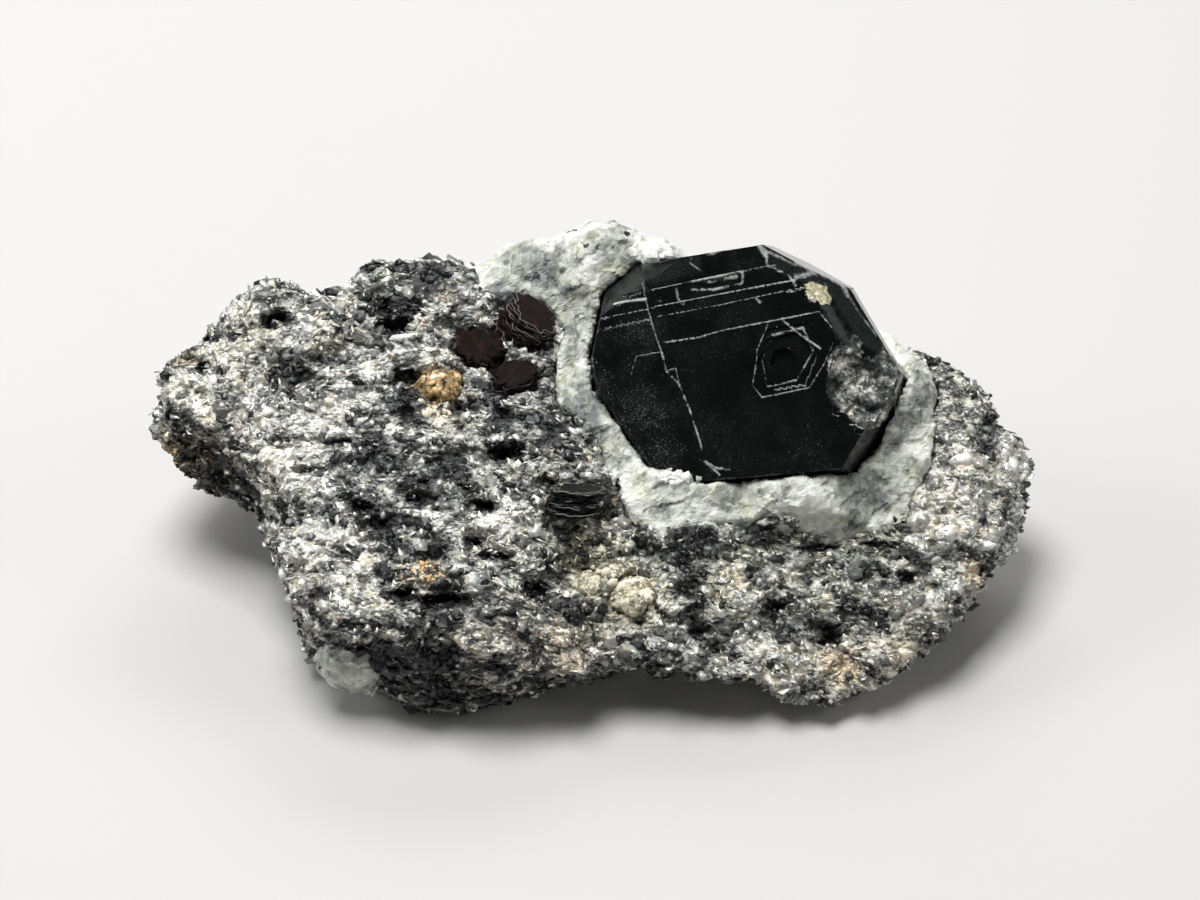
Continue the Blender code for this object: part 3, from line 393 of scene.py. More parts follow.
# Broken edges and chips on the slanting facets, by their places in the
# camera's view: points, strength, half width and height.
RIM_LINES = (
    (((763, 249), (773, 254), (791, 263), (804, 267), (814, 272), (827, 276), (842, 285)), 0.75, 0.16, 0.0),
    (((842, 285), (848, 295), (861, 315), (874, 332), (883, 347), (893, 359)), 0.55, 0.12, 0.0),
    (((796, 277), (814, 273), (829, 277), (842, 284), (848, 296)), 0.8, 0.2, 0.02),
    (((766, 252), (767, 265), (789, 276), (796, 286)), 0.8, 0.1, 0.02),
    (((760, 247), (766, 256)), 0.95, 0.18, 0.02),
    (((707, 254), (723, 250)), 0.85, 0.2, 0.03),
    (((623, 273), (606, 293)), 0.3, 0.16, 0.0),
    (((636, 268), (647, 289)), 0.35, 0.12, 0.0),
    (((893, 359), (902, 374), (894, 386)), 0.8, 0.22, 0.03),
)
# A groove on the same facets: points, half width and height.
GROOVE = (((832, 302), (850, 337)), 0.11, -0.12)
# Chipped and dull patches on the same facets: outline in the camera's view.
CHIPPED_PATCH = ((804, 284), (816, 282), (827, 287), (833, 300), (829, 304), (821, 303), (809, 298))
BROKEN_PATCH = (
    (827, 366), (832, 350), (848, 340), (857, 337), (862, 344), (861, 356), (872, 361), (879, 354),
    (884, 351), (893, 359), (902, 374), (903, 390), (894, 410), (880, 428), (862, 430), (852, 418),
    (838, 408), (827, 390),
)
DULL_PATCHES = (
    (((822, 306), (831, 304), (851, 338), (844, 342), (834, 330)), 0.8),
    (((623, 273), (637, 268), (647, 289), (619, 296), (608, 292)), 0.62),
    (((768, 252), (804, 268), (842, 286), (893, 360), (862, 345), (833, 300), (796, 280), (768, 266)), 0.3),
    (((648, 268), (700, 255), (702, 272), (650, 286)), 0.26),
)
# Dusty areas of the crystal: place and radius in the view, and amount.
HAZE_AREAS = (
    ((620, 400), 60.0, 0.7), ((650, 450), 45.0, 0.8), ((625, 330), 40.0, 0.45), ((690, 300), 60.0, 0.35),
    ((745, 340), 50.0, 0.35), ((700, 470), 60.0, 0.45), ((830, 470), 40.0, 0.6), ((800, 440), 50.0, 0.3),
    ((590, 370), 20.0, 0.5), ((745, 255), 40.0, 0.3),
)

# Outline of the front face, and how far from it the edges are worn.
FRONT_OUTLINE = (
    (-6.3, 4.5), (1.6, 7.6), (4.3, 6.9), (7.2, 4.0), (9.0, -0.2), (10.4, -1.9), (10.1, -4.7), (8.2, -5.2),
    (6.8, -6.0), (2.5, -7.5), (-2.3, -8.8), (-4.9, -6.9), (-7.0, -4.7), (-8.4, -2.8), (-9.0, -1.5),
    (-8.9, 0.7), (-9.0, 2.6), (-6.3, 4.5),
)
RIM_WIDTH = 0.8
# Points above this level belong to the front, and points whose direction is at
# least this far towards the camera belong to what it sees.
FRONT_DEPTH = -1.6
FACING_LIMIT = 0.15
# Faces with less than this bend between them are joined before they are cut,
# the tolerance of a cut, and how much wider the steps are through the depth.
FLAT_BEND = math.radians(0.5)
CUT_TOLERANCE = 1e-4
DEPTH_STEPS = 2.0
# Growth lines: room round them that is split finer, cuts, how many half widths
# they reach, their usual strength, and size and strength of their breaks.
LINE_MARGIN = 0.10
LINE_CUTS = 2
LINE_REACH = 2.5
LINE_STRENGTH = 0.80
LINE_BREAKS = ((1.1, 0.7), (0.22, 0.5))
# Patches: width of a soft and of a hard edge, and size and depth of their jags,
# in the camera's view.
DULL_EDGE = 5.0
PATCH_EDGE = 2.0
RAGGED_SIZE = 5.0
RAGGED_DEPTH = 3.0
# The faces' waves: size and relief. Wear of the edges: size, level, relief and
# paleness. Broken patches: size and share of their bumps, relief and depth.
FACE_WAVE = (2.4, 0.01)
EDGE_WEAR = (0.8, 0.3, 0.1, 0.45)
BROKEN_BUMPS = ((0.42, 1.0), (0.17, 0.7))
BROKEN_RELIEF = 0.20
BROKEN_SINK = 0.10
# Colours of the broken corner and of the chip, and what counts as a sharp edge.
GRIT_STOPS = (
    (0.22, (0.008, 0.01, 0.009)),
    (0.42, (0.06, 0.066, 0.058)),
    (0.6, (0.25, 0.255, 0.23)),
    (0.8, (0.66, 0.65, 0.57)),
)
CHIP_STOPS = (
    (0.2, (0.03, 0.03, 0.02)),
    (0.4, (0.26, 0.25, 0.15)),
    (0.6, (0.56, 0.53, 0.36)),
    (0.8, (0.82, 0.8, 0.68)),
)
SHARP_ANGLE = math.radians(22.0)

# --- mica
# Each book of sheets: its solid, centre, direction and rise of its face, turn
# of its outline, half sizes, depth, sideways slip over the depth, number of
# sheets, and seed.
BOOKS = (
    ("mica_book_upper", (-3.98, 6.61, 17.5), (-30, 59), 4, (1.9, 1.25), 2.3, (0.18, -1.8), 24, 0),
    ("mica_book_left", (-7.88, 4.41, 16.3), (-98, 54), 84, (1.65, 1.25), 1.02, (0.18, -0.42), 12, 10),
    ("mica_book_lower", (-5.28, 2.31, 15.5), (-80, 60), 94, (1.62, 1.0), 1.1, (0.15, -0.46), 12, 20),
    ("black_mica_book", (-0.88, -6.49, 12.4), (84, 66), 92, (1.7, 1.15), 1.7, (0.3, 0.8), 16, 30),
)
# A book's outline: corners, unevenness, how its noise runs from corner to
# corner and from seed to seed, and over how many parts of the depth it changes.
BOOK_CORNERS = 7
BOOK_UNEVENNESS = 0.16
BOOK_NOISE = (1.7, 3.1)
BOOK_PARTS = 3.0
# A sheet: points round it, thickness in millimetres, and its rings as shares
# of the way out. Its worn edge, its waves and its ripples each have a strength,
# how closely they follow each other, and how they change from sheet to sheet.
BOOK_OUTLINE = 56
SHEET_THICKNESS = 0.062
SHEET_WEAR = (0.34, 3.0, 0.9)
SHEET_WAVE = (0.07, 0.9, 0.12)
SHEET_RIPPLE = (0.075, 2.6, 0.5)
SHEET_RINGS = (0.4, 0.75, 0.94, 1.0)

# --- grains
# Each grain: piece, solid and slot.
GRAINS = (
    ("amber_crumb", "amber_grain", "amber_mineral"),
    ("cream_crumb_large", "cream_grain_large", "cream_mineral"),
    ("cream_crumb_small", "cream_grain_small", "cream_mineral"),
)
# Size of a grain's faces, and how far it moves out in millimetres.
GRAIN_VOXEL = 0.09 * MM
GRAIN_SWELL = 0.10
# Size and relief of a grain's chips, then its coarse and its fine chips: share
# of that size, seed and share of that relief.
GRAIN_CHIPS = (0.5, 0.05)
GRAIN_CHIP_KINDS = ((1.0, 4.0, 1.0), (0.45, 9.0, 0.5))
# Colours of the amber and the cream grains.
AMBER_STOPS = (
    (0.22, (0.04, 0.028, 0.016)),
    (0.36, (0.19, 0.105, 0.038)),
    (0.5, (0.36, 0.225, 0.08)),
    (0.64, (0.5, 0.39, 0.2)),
    (0.8, (0.78, 0.74, 0.6)),
)
CREAM_STOPS = (
    (0.2, (0.09, 0.085, 0.055)),
    (0.36, (0.29, 0.27, 0.17)),
    (0.54, (0.56, 0.52, 0.39)),
    (0.76, (0.85, 0.82, 0.72)),
)
# The grains' finishes: slot, stops and least roughness.
GRAIN_FINISHES = (("amber_mineral", AMBER_STOPS, 0.3), ("cream_mineral", CREAM_STOPS, 0.32))

# Flakes and crumbs that hide the border of schist and feldspar: how many, and
# in millimetres how far they stray from it and their usual half length.
BORDER_FLAKES = (1500, 0.85, 0.22)
BORDER_CRUMBS = (520, 0.75, 0.15)
# Seed, places drawn for each one wanted, change and spread of the flakes'
# tones, their shapes, and spread and limits of the crumbs' radii.
BORDER_SEED = 41
BORDER_TRIES = 14
BORDER_TONE = (-0.1, 0.26)
BORDER_SHAPES = ((0.35, 0.95), (0.05, 0.2))
BORDER_RADII = (0.35, 0.07, 0.32)

# Clusters of crumbs: name, slot, place, half width and half height in the
# view, and how many crumbs.
CLUSTERS = (
    ("amber_crumbs", "amber_mineral", (434, 388), (30, 20), 26),
    ("cream_rim_crumbs", "cream_mineral", (437, 412), (14, 8), 50),
    ("rusty_crumbs", "amber_mineral", (427, 572), (17, 10), 45),
    ("cream_crumbs_large", "cream_mineral", (640, 599), (33, 24), 80),
    ("cream_crumbs_small", "cream_mineral", (597, 582), (17, 17), 40),
    ("rim_crumbs", "white_feldspar", (676, 477), (22, 6), 90),
)
# The pieces that clusters lie on, their seed, usual radius of a crumb in
# millimetres, its spread, and how deep it sinks in as a share of it.
CLUSTER_GROUND = ("schist_surface", "vein_surface", "amber_crumb", "cream_crumb_large", "cream_crumb_small")
CLUSTER_SEED = 37
CLUSTER_CRUMB = 0.17
CLUSTER_SPREAD = 0.45
CLUSTER_SINK = 0.25

# --- stage
# The floor's width in metres, colour and roughness, and how near to the camera
# its view begins, in metres.
FLOOR_SIZE = 1.6
FLOOR_COLOUR = (0.47, 0.465, 0.46)
PAPER_ROUGHNESS = 0.8
NEAREST_SEEN = 0.01
# Softboxes: name, place and size in metres, and power in watts.
SOFTBOXES = (
    ("softbox_top", (-0.08, 0.04, 0.44), (0.24, 0.2), 2.7),
    ("softbox_back", (0.02, 0.44, 0.34), (0.44, 0.18), 1.5),
    ("softbox_left", (-0.44, 0.04, 0.26), (0.2, 0.2), 0.85),
    ("softbox_right", (0.44, -0.02, 0.26), (0.2, 0.2), 0.5),
    ("softbox_front", (0.22, -0.44, 0.16), (0.26, 0.14), 0.26),
)


# --- shading


class Signal:
    """A socket's value, on which plain arithmetic adds Math nodes."""

    def __init__(self, finish, socket):
        self.finish = finish
        self.socket = socket

    def combine(self, operation, first, second):
        """Add a Math node on two values."""
        return self.finish.node("ShaderNodeMath", {"operation": operation}, {0: first, 1: second})

    def __add__(self, other):
        return self.combine("ADD", self, other)

    def __radd__(self, other):
        return self.combine("ADD", other, self)

    def __sub__(self, other):
        return self.combine("SUBTRACT", self, other)

    def __rsub__(self, other):
        return self.combine("SUBTRACT", other, self)

    def __mul__(self, other):
        return self.combine("MULTIPLY", self, other)

    def __rmul__(self, other):
        return self.combine("MULTIPLY", other, self)

    def swing(self, amount):
        """Return how far a value from 0 to 1 is from its middle, times an amount."""
        return (self - 0.5) * amount


def opaque(colour):
    """Return a colour with an alpha of one."""
    return (colour[0], colour[1], colour[2], 1.0)


def set_stops(ramp, stops):
    """Give a colour ramp its stops, each a place and a colour."""
    while len(ramp.elements) < len(stops):
        ramp.elements.new(1.0)
    for element, (place, colour) in zip(ramp.elements, stops):
        element.position = place
        element.color = opaque(colour)


class Finish:
    """A material that is being made, as a tree of nodes."""

    def __init__(self, name):
        self.material = bpy.data.materials.new(name)
        self.material.use_nodes = True
        self.tree = self.material.node_tree
        self.tree.nodes.clear()

    def node(self, kind, settings, sockets, output=0):
        """Add a node, set it up, fill its sockets and return one of its outputs."""
        item = self.tree.nodes.new(kind)
        for name, value in settings.items():
            if name == "stops":
                set_stops(item.color_ramp, value)
            else:
                setattr(item, name, value)
        for name, value in sockets.items():
            if isinstance(value, Signal):
                self.tree.links.new(value.socket, item.inputs[name])
            else:
                item.inputs[name].default_value = value
        return Signal(self, item.outputs[output]) if item.outputs else None

    def place(self):
        """Return the place on the object in millimetres."""
        coordinate = self.node("ShaderNodeTexCoord", {}, {}, "Object")
        scaling = {"operation": "SCALE"}
        return self.node("ShaderNodeVectorMath", scaling, {"Vector": coordinate, "Scale": 1.0 / MM})

    def turned_place(self, turn, stretch):
        """Return the place in millimetres, turned and squeezed along three axes."""
        coordinate = self.node("ShaderNodeTexCoord", {}, {}, "Object")
        scale = [size * MM for size in stretch]
        sockets = {"Vector": coordinate, "Rotation": turn.to_euler(), "Scale": scale}
        return self.node("ShaderNodeMapping", {"vector_type": "TEXTURE"}, sockets)

    def attribute(self, name):
        """Return a number that is kept at the mesh's points."""
        return self.node("ShaderNodeAttribute", {"attribute_name": name}, {}, "Fac")

    def noise(self, place, size, roughness=0.6, detail=3.0):
        """Return smooth noise from 0 to 1 with a pattern of the given size."""
        sockets = {"Vector": place, "Scale": 1.0 / size, "Detail": detail, "Roughness": roughness}
        return self.node("ShaderNodeTexNoise", {}, sockets, 0)

    def cells(self, place, size):
        """Return a random number from 0 to 1 for each grain of the given size."""
        sockets = {"Vector": place, "Scale": 1.0 / size}
        colour = self.node("ShaderNodeTexVoronoi", {"feature": "F1"}, sockets, "Color")
        return self.node("ShaderNodeSeparateColor", {}, {"Color": colour}, 0)

    def between(self, value, low, high):
        """Return 0 below one value and 1 above another, smooth in between."""
        sockets = {"Value": value, "From Min": low, "From Max": high}
        return self.node("ShaderNodeMapRange", {"interpolation_type": "SMOOTHSTEP"}, sockets)

    def ramp(self, value, stops):
        """Return a colour for a value from a row of stops."""
        return self.node("ShaderNodeValToRGB", {"stops": stops}, {"Fac": value})

    def mix(self, amount, first, second, blend="MIX"):
        """Return a mix of two colours."""
        first = first if isinstance(first, Signal) else opaque(first)
        second = second if isinstance(second, Signal) else opaque(second)
        settings = {"data_type": "RGBA", "blend_type": blend}
        return self.node("ShaderNodeMix", settings, {0: amount, 6: first, 7: second}, 2)

    def bump(self, height, depth):
        """Return a surface direction from a height, with its depth in metres."""
        return self.node("ShaderNodeBump", {}, {"Height": height, "Distance": depth})

    def surface(self, sockets):
        """End the material in a Principled shader and return the material."""
        shader = self.node("ShaderNodeBsdfPrincipled", {}, sockets)
        self.node("ShaderNodeOutputMaterial", {}, {"Surface": shader})
        return self.material


# --- mesh making


def read_points(mesh):
    """Return a mesh's points in millimetres and their outward directions."""
    places = np.empty(len(mesh.vertices) * 3)
    normals = np.empty(len(mesh.vertices) * 3)
    mesh.vertices.foreach_get("co", places)
    mesh.vertex_normals.foreach_get("vector", normals)
    return places.reshape(-1, 3) / MM, normals.reshape(-1, 3)


def write_points(mesh, places):
    """Give a mesh its points back, from millimetres."""
    mesh.vertices.foreach_set("co", (places * MM).ravel())
    mesh.update()


def keep_numbers(mesh, name, values):
    """Keep a number at each of a mesh's points under a name."""
    layer = mesh.attributes.new(name, "FLOAT", "POINT")
    layer.data.foreach_set("value", np.asarray(values, dtype=np.float32))


def welded_shape(node):
    """Return a CAD solid's mesh as a bmesh with its split points joined."""
    shape = bmesh.new()
    shape.from_mesh(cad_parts[node].data)
    bmesh.ops.remove_doubles(shape, verts=shape.verts, dist=WELD_DISTANCE)
    return shape


def mesh_of(shape, name):
    """Return a bmesh as a mesh, and free it."""
    mesh = bpy.data.meshes.new(name)
    shape.to_mesh(mesh)
    shape.free()
    return mesh


def tree_of(shape):
    """Return a search tree of a bmesh's surface, and free it."""
    tree = BVHTree.FromBMesh(shape)
    shape.free()
    return tree


def shape_points(shape):
    """Return the points of a bmesh."""
    return np.array([tuple(vert.co) for vert in shape.verts])


def shade_by_angle(mesh):
    """Shade a mesh smooth but for its sharp edges."""
    mesh.shade_smooth()
    mesh.set_sharp_from_angle(angle=SHARP_ANGLE)


def add_object(name, data):
    """Return a new object in the scene."""
    item = bpy.data.objects.new(name, data)
    bpy.context.scene.collection.objects.link(item)
    return item


def plain_finish(slot):
    """Return the plain material that the solids have for a slot."""
    return bpy.data.materials[slot]


def add_piece(name, mesh, finish, nodes=()):
    """Put a mesh in the scene as a piece that stands for some CAD solids."""
    piece = add_object(name, mesh)
    mesh.materials.clear()
    mesh.materials.append(finish)
    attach(piece, BODY)
    if nodes:
        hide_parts(*nodes)


def piece_mesh(name):
    """Return the mesh of a piece that is finished."""
    return bpy.data.objects[name].data


def remeshed(node, voxel, softening):
    """Return a fine even mesh of a CAD solid, with its facets softened."""
    carrier = add_object("carrier", mesh_of(welded_shape(node), node + "_fine"))
    remesh = carrier.modifiers.new("fine", "REMESH")
    remesh.mode = "VOXEL"
    remesh.voxel_size = voxel
    smooth = carrier.modifiers.new("soften", "SMOOTH")
    smooth.factor = SOFTENING_FACTOR
    smooth.iterations = softening
    graph = bpy.context.evaluated_depsgraph_get()
    fine = bpy.data.meshes.new_from_object(carrier.evaluated_get(graph), depsgraph=graph)
    bpy.data.objects.remove(carrier)
    return fine


def unwrap(mesh):
    """Lay a mesh out flat for baking, before its relief is added."""
    carrier = add_object("carrier", mesh)
    bpy.context.view_layer.objects.active = carrier
    mesh.uv_layers.new(name=BAKE_MAP)
    bpy.ops.object.mode_set(mode="EDIT")
    bpy.ops.mesh.select_all(action="SELECT")
    bpy.ops.uv.smart_project(angle_limit=BAKE_FOLD, island_margin=BAKE_MARGIN)
    bpy.ops.object.mode_set(mode="OBJECT")
    bpy.data.objects.remove(carrier)


def fine_solid(node, voxel, softening):
    """Return a CAD solid's fine mesh, laid out for baking, with its points and directions."""
    mesh = remeshed(node, voxel, softening)
    unwrap(mesh)
    return mesh, *read_points(mesh)


def solid_tree(node):
    """Return a search tree of a CAD solid's surface."""
    return tree_of(welded_shape(node))


def sight_line(place):
    """Return the camera's line of sight through a place in its view."""
    right = (place[0] - VIEW_MIDDLE[0]) / VIEW_SCALE * MM
    up = (VIEW_MIDDLE[1] - place[1]) / VIEW_SCALE * MM
    return (LOOK * CAMERA_DISTANCE + LOOK_RIGHT * right + LOOK_UP * up).normalized()


def seen_spot(tree, place):
    """Return where a line of sight meets a solid, in millimetres, and its slope.

    A line that passes close by takes the nearest spot on the solid's edge.
    """
    line = sight_line(place)
    spot, normal, _, _ = tree.ray_cast(CAMERA_PLACE, line)
    if spot is None:
        far = CAMERA_DISTANCE
        for _ in range(EDGE_STEPS):
            spot, normal, _, _ = tree.find_nearest(CAMERA_PLACE + line * far)
            far = (spot - CAMERA_PLACE).dot(line)
    return spot / MM, normal


# --- schist relief


def chip(place, size, seed):
    """Return the height of a small flat-faced chip and a number of its own."""
    second, third = SEED_SHIFTS
    spot = place / size + Vector((seed, seed * second, seed * third))
    centre = noise.voronoi(spot)[1][0]
    own = noise.cell_vector(centre * CELL_SPREAD)
    tilt = own * 2.0 - Vector((1.0, 1.0, 1.0))
    return tilt.dot(spot - centre), own.x


def ledge(place):
    """Return how far the layers' broken edges stand out, from -0.5 to 0.5."""
    height = place.dot(LAYER_NORMAL) + LEDGE_WANDER * noise.noise(place / LEDGE_LENGTH)
    step = height / LEDGE_HEIGHT
    return step - math.floor(step) - 0.5


def schist_height(place, normal):
    """Return the schist's fine relief in millimetres at a place."""
    spot = LAYER_SPACE @ place
    height = ROCK_SWELL
    for size, seed, relief in SCHIST_CHIPS:
        height += relief * chip(spot, size, seed)[0]
    slant = 1.0 - normal.dot(LAYER_NORMAL) ** 2
    return height + LEDGE_RELIEF * slant * ledge(place)


def schist_tone(place, normal):
    """Return the schist's tone at a place, from 0 dark to 1 light, with painted shade on faces that look
    down.
    """
    spot = LAYER_SPACE @ place
    tone = MIDDLE_TONE
    for size, strength in TONE_WAVES:
        tone += strength * noise.noise(spot / size)
    for size, seed, strength in TONE_CHIPS:
        tone += strength * (chip(spot, size, seed)[1] - 0.5)
    cluster = -noise.noise(spot / CLUSTER_SIZE + CLUSTER_SHIFT)
    tone -= CLUSTER_DARKNESS * min(max((cluster - CLUSTER_START) / CLUSTER_STEP, 0.0), 1.0)
    # Painted shade on faces that look down.
    under = max(-normal.dot(LAYER_NORMAL), 0.0)
    return tone - UNDERSIDE_PAINTED_SHADE * under


def falloff(distance, radius):
    """Return 1 at no distance, which falls smoothly towards 0 past a radius."""
    return np.exp(-((distance / radius) ** 2))


def nearness(places, centre, radius):
    """Return for many places how near they are to a centre, from 0 to 1."""
    return falloff(np.linalg.norm(places - np.array(centre), axis=1), radius)


def pit_share(places, pit):
    """Return for many places how deep inside a pit they are, from 0 to 1."""
    centre, half_size, _ = pit
    offset = places - np.array(centre)
    across = offset @ np.array(LOOK_RIGHT) / half_size[0]
    upright = offset @ np.array(LOOK_UP) / half_size[1]
    near = np.abs(offset @ np.array(LOOK)) < PIT_REACH
    return np.sqrt(np.clip(1.0 - across**2 - upright**2, 0.0, 1.0)) * near


class SchistMap:
    """Where the schist's named areas and pits lie on its solid."""

    def __init__(self):
        tree = solid_tree("schist_matrix")
        self.areas = []
        for place, radius, lift, warm, green in AREAS:
            self.areas.append((seen_spot(tree, place)[0], radius, lift, warm, green))
        for place, radius, lift in BRIGHT_SPOTS:
            self.areas.append((seen_spot(tree, place)[0], radius, lift, 0.0, 0.0))
        self.pits = []
        for place, half_size, depth in PITS:
            centre, _ = seen_spot(tree, place)
            size = [half / VIEW_SCALE for half in half_size]
            self.pits.append((centre, size, depth))

    def tones(self, places, normals):
        """Return the tone, warm tint and green tint of many places."""
        pairs = zip(places, normals)
        tone = np.array([schist_tone(Vector(place), Vector(normal)) for place, normal in pairs])
        warm = np.array([self.warm_grain(Vector(place)) for place in places])
        green = np.zeros(len(places))
        for centre, radius, lift, warmth, greenness in self.areas:
            share = nearness(places, centre, radius)
            tone += lift * share
            warm += warmth * share
            green += greenness * share
        # Painted shade at the bottoms of the pits.
        for pit in self.pits:
            tone -= PIT_PAINTED_SHADE * pit_share(places, pit)
        return np.clip(tone, 0.0, 1.0), np.clip(warm, 0.0, 1.0), np.clip(green, 0.0, 1.0)

    def warm_grain(self, place):
        """Return the warm tint of the grain at a place."""
        _, own = chip(LAYER_SPACE @ place, WARM_GRAIN_SIZE, WARM_GRAIN_SEED)
        patch = WARM_PATCH_MIDDLE + noise.noise(place / WARM_PATCH_SIZE)
        return WARM_TINT_BASE + max(own - WARM_GRAIN_START, 0.0) * WARM_GRAIN_STRENGTH * patch

    def dips(self, places):
        """Return how deep the pits are at many places."""
        depth = np.zeros(len(places))
        for pit in self.pits:
            depth = np.maximum(depth, pit[2] * pit_share(places, pit))
        return depth


def keep_tones(mesh, tones):
    """Keep tone, warm tint and green tint, each value at one point or at a whole body's."""
    repeats = len(mesh.vertices) // len(tones[0])
    for name, values in zip(("tone", "warm", "green"), tones):
        keep_numbers(mesh, name, np.repeat(values, repeats))


def relieved_schist(settings, schist_map):
    """Return the schist's mesh with chips, ledges and pits."""
    mesh, places, normals = fine_solid("schist_matrix", settings.voxel, ROCK_SOFTENING)
    pairs = zip(places, normals)
    heights = np.array([schist_height(Vector(place), Vector(normal)) for place, normal in pairs])
    foot = np.clip(places[:, 2] / FOOT_HEIGHT, 0.0, 1.0)
    moved = places + normals * (heights * foot)[:, None]
    moved += np.array(LOOK) * (schist_map.dips(places) * foot)[:, None]
    moved[:, 2] = np.maximum(moved[:, 2], 0.0)
    write_points(mesh, moved)
    keep_tones(mesh, schist_map.tones(moved, normals))
    mesh.shade_flat()
    return mesh


def tinted(finish, colour, place, settings):
    """Return the rock's colour with its rusty, olive and brown grains."""
    pick = finish.cells(place, size=0.42)
    other = finish.cells(place, size=0.31)
    warm = finish.attribute("warm") + finish.between(pick, low=0.88, high=0.92) * 0.25
    green = finish.attribute("green") + finish.between(other, low=0.80, high=0.88) * 0.45
    brown = finish.between(pick, low=0.30, high=0.26) * finish.between(pick, low=0.18, high=0.22)
    colour = finish.mix(warm, colour, settings.warm, "MULTIPLY")
    colour = finish.mix(green, colour, settings.green, "MULTIPLY")
    return finish.mix(brown * 0.5, colour, settings.brown, "MULTIPLY")


def schist_finish(settings):
    """Return the schist's finish: a tight mix of dark, silvery and cream grains."""
    finish = Finish("mica_schist")
    layered = finish.turned_place(LAYER_TURN, LAYER_STRETCH)
    grain = finish.cells(layered, size=0.30)
    flake = finish.cells(layered, size=0.13)
    dust = finish.noise(layered, size=0.08, roughness=0.7)
    level = finish.attribute("tone") + grain.swing(0.34) + flake.swing(0.36) + dust.swing(0.34)
    colour = tinted(finish, finish.ramp(level, TONES), layered, settings)
    height = flake * 0.6 + grain * 0.5 + dust * 0.5
    return finish.surface({
        "Base Color": colour,
        "Roughness": 0.30 + flake * 0.30,
        "Metallic": finish.between(grain, low=0.55, high=0.8) * 0.45,
        "Normal": finish.bump(height, depth=0.12 * MM),
    })


# --- plates, crumbs


def scattered(mesh, count, random):
    """Return places and directions spread evenly over a mesh."""
    mesh.calc_loop_triangles()
    corners = np.empty(len(mesh.loop_triangles) * 3, dtype=np.int32)
    mesh.loop_triangles.foreach_get("vertices", corners)
    places, _ = read_points(mesh)
    first, second, third = (places[corners.reshape(-1, 3)[:, side]] for side in range(3))
    across = np.cross(second - first, third - first)
    doubled = np.linalg.norm(across, axis=1)
    chosen = random.choice(len(doubled), count, p=doubled / doubled.sum())
    along = random.random((count, 2))
    folded = along.sum(axis=1) > 1.0
    along[folded] = 1.0 - along[folded]
    spots = first[chosen] + along[:, :1] * (second - first)[chosen] + along[:, 1:] * (third - first)[chosen]
    return spots, across[chosen] / doubled[chosen][:, None]


def unit(vectors):
    """Return vectors of length one."""
    return vectors / np.maximum(np.linalg.norm(vectors, axis=1), TINY)[:, None]


def random_axes(normals, random):
    """Return two directions across each normal, turned at random."""
    guide = random.normal(size=normals.shape)
    first = unit(np.cross(normals, guide))
    return first, np.cross(normals, first)


def streaked_axes(normals, random):
    """Return two directions across each normal, the first roughly along the streaks."""
    guide = np.array(LAYER_ACROSS) + random.normal(scale=STREAK_SPREAD, size=normals.shape)
    first = unit(np.cross(guide, normals))
    return first, np.cross(normals, first)


def has_room(places):
    """Return which places are above the foot and clear of the solids that stay clean."""
    trees = [solid_tree(node) for node in CLEAN_NODES]
    clear = [
        all(tree.find_nearest(Vector(place) * MM, PLATE_CLEARANCE * MM)[0] is None for tree in trees)
        for place in places
    ]
    return (places[:, 2] > PLATE_FLOOR) & np.array(clear)


def varied(usual, spread, smallest, largest, count, random):
    """Return sizes that vary about a usual one, between two limits."""
    return np.clip(random.lognormal(math.log(usual), spread, count), smallest, largest)


def bake_cells(count):
    """Return a square cell of the bake map for each item, as corner and width."""
    side = math.ceil(math.sqrt(count))
    index = np.arange(count)
    origin = np.stack((index % side, index // side), axis=1) / side
    return origin, 1.0 / side


def many_bodies(name, points, faces, flat_points):
    """Return one mesh of many like bodies, each laid out in its own bake cell."""
    count, size = points.shape[:2]
    face_size = [len(face) for face in faces]
    starts = np.arange(count)[:, None] * size
    corners = np.concatenate([np.array(face) for face in faces])
    loops = (starts + corners[None, :]).ravel()
    mesh = bpy.data.meshes.new(name)
    mesh.vertices.add(count * size)
    mesh.vertices.foreach_set("co", (points * MM).ravel())
    mesh.loops.add(len(loops))
    mesh.loops.foreach_set("vertex_index", loops)
    sizes = np.tile(face_size, count)
    mesh.polygons.add(len(sizes))
    mesh.polygons.foreach_set("loop_start", np.concatenate(([0], np.cumsum(sizes)[:-1])))
    mesh.update(calc_edges=True)
    origin, width = bake_cells(count)
    layer = mesh.uv_layers.new(name=BAKE_MAP)
    cells = origin[:, None, :] + (0.5 + flat_points[None, :, :] * BAKE_FILL) * width
    layer.data.foreach_set("uv", cells.reshape(-1, 2)[loops].ravel())
    mesh.validate()
    return mesh


def prism_faces(corners):
    """Return a prism's faces and its points laid out flat, with its foot inside."""
    ring = range(corners)
    sides = []
    for corner in ring:
        following = (corner + 1) % corners
        sides.append((corner, corner + corners, following + corners, following))
    foot = tuple(corner + corners for corner in reversed(ring))
    flat = []
    for reach in (1.0, PLATE_TAPER):
        for corner in ring:
            angle = corner * FULL_TURN / corners
            flat.append((reach * math.cos(angle), reach * math.sin(angle)))
    return [tuple(ring), foot, *sides], np.array(flat)


def prism_mesh(name, places, normals, sizes, axes, ring):
    """Return many prisms: half length, half width and thickness each.

    The axes run along and across them. The ring holds the angles of their
    corners, and how far out the corners lie.
    """
    along, across = axes
    angles, reach = ring
    outline = (
        along[:, None, :] * (np.cos(angles) * reach * sizes[:, :1])[:, :, None]
        + across[:, None, :] * (np.sin(angles) * reach * sizes[:, 1:2])[:, :, None]
    )
    rise = (normals * sizes[:, 2:] * 0.5)[:, None, :]
    top = places[:, None, :] + outline + rise
    bottom = places[:, None, :] + outline * PLATE_TAPER - rise
    faces, flat_points = prism_faces(angles.shape[1])
    return many_bodies(name, np.concatenate((top, bottom), axis=1), faces, flat_points)


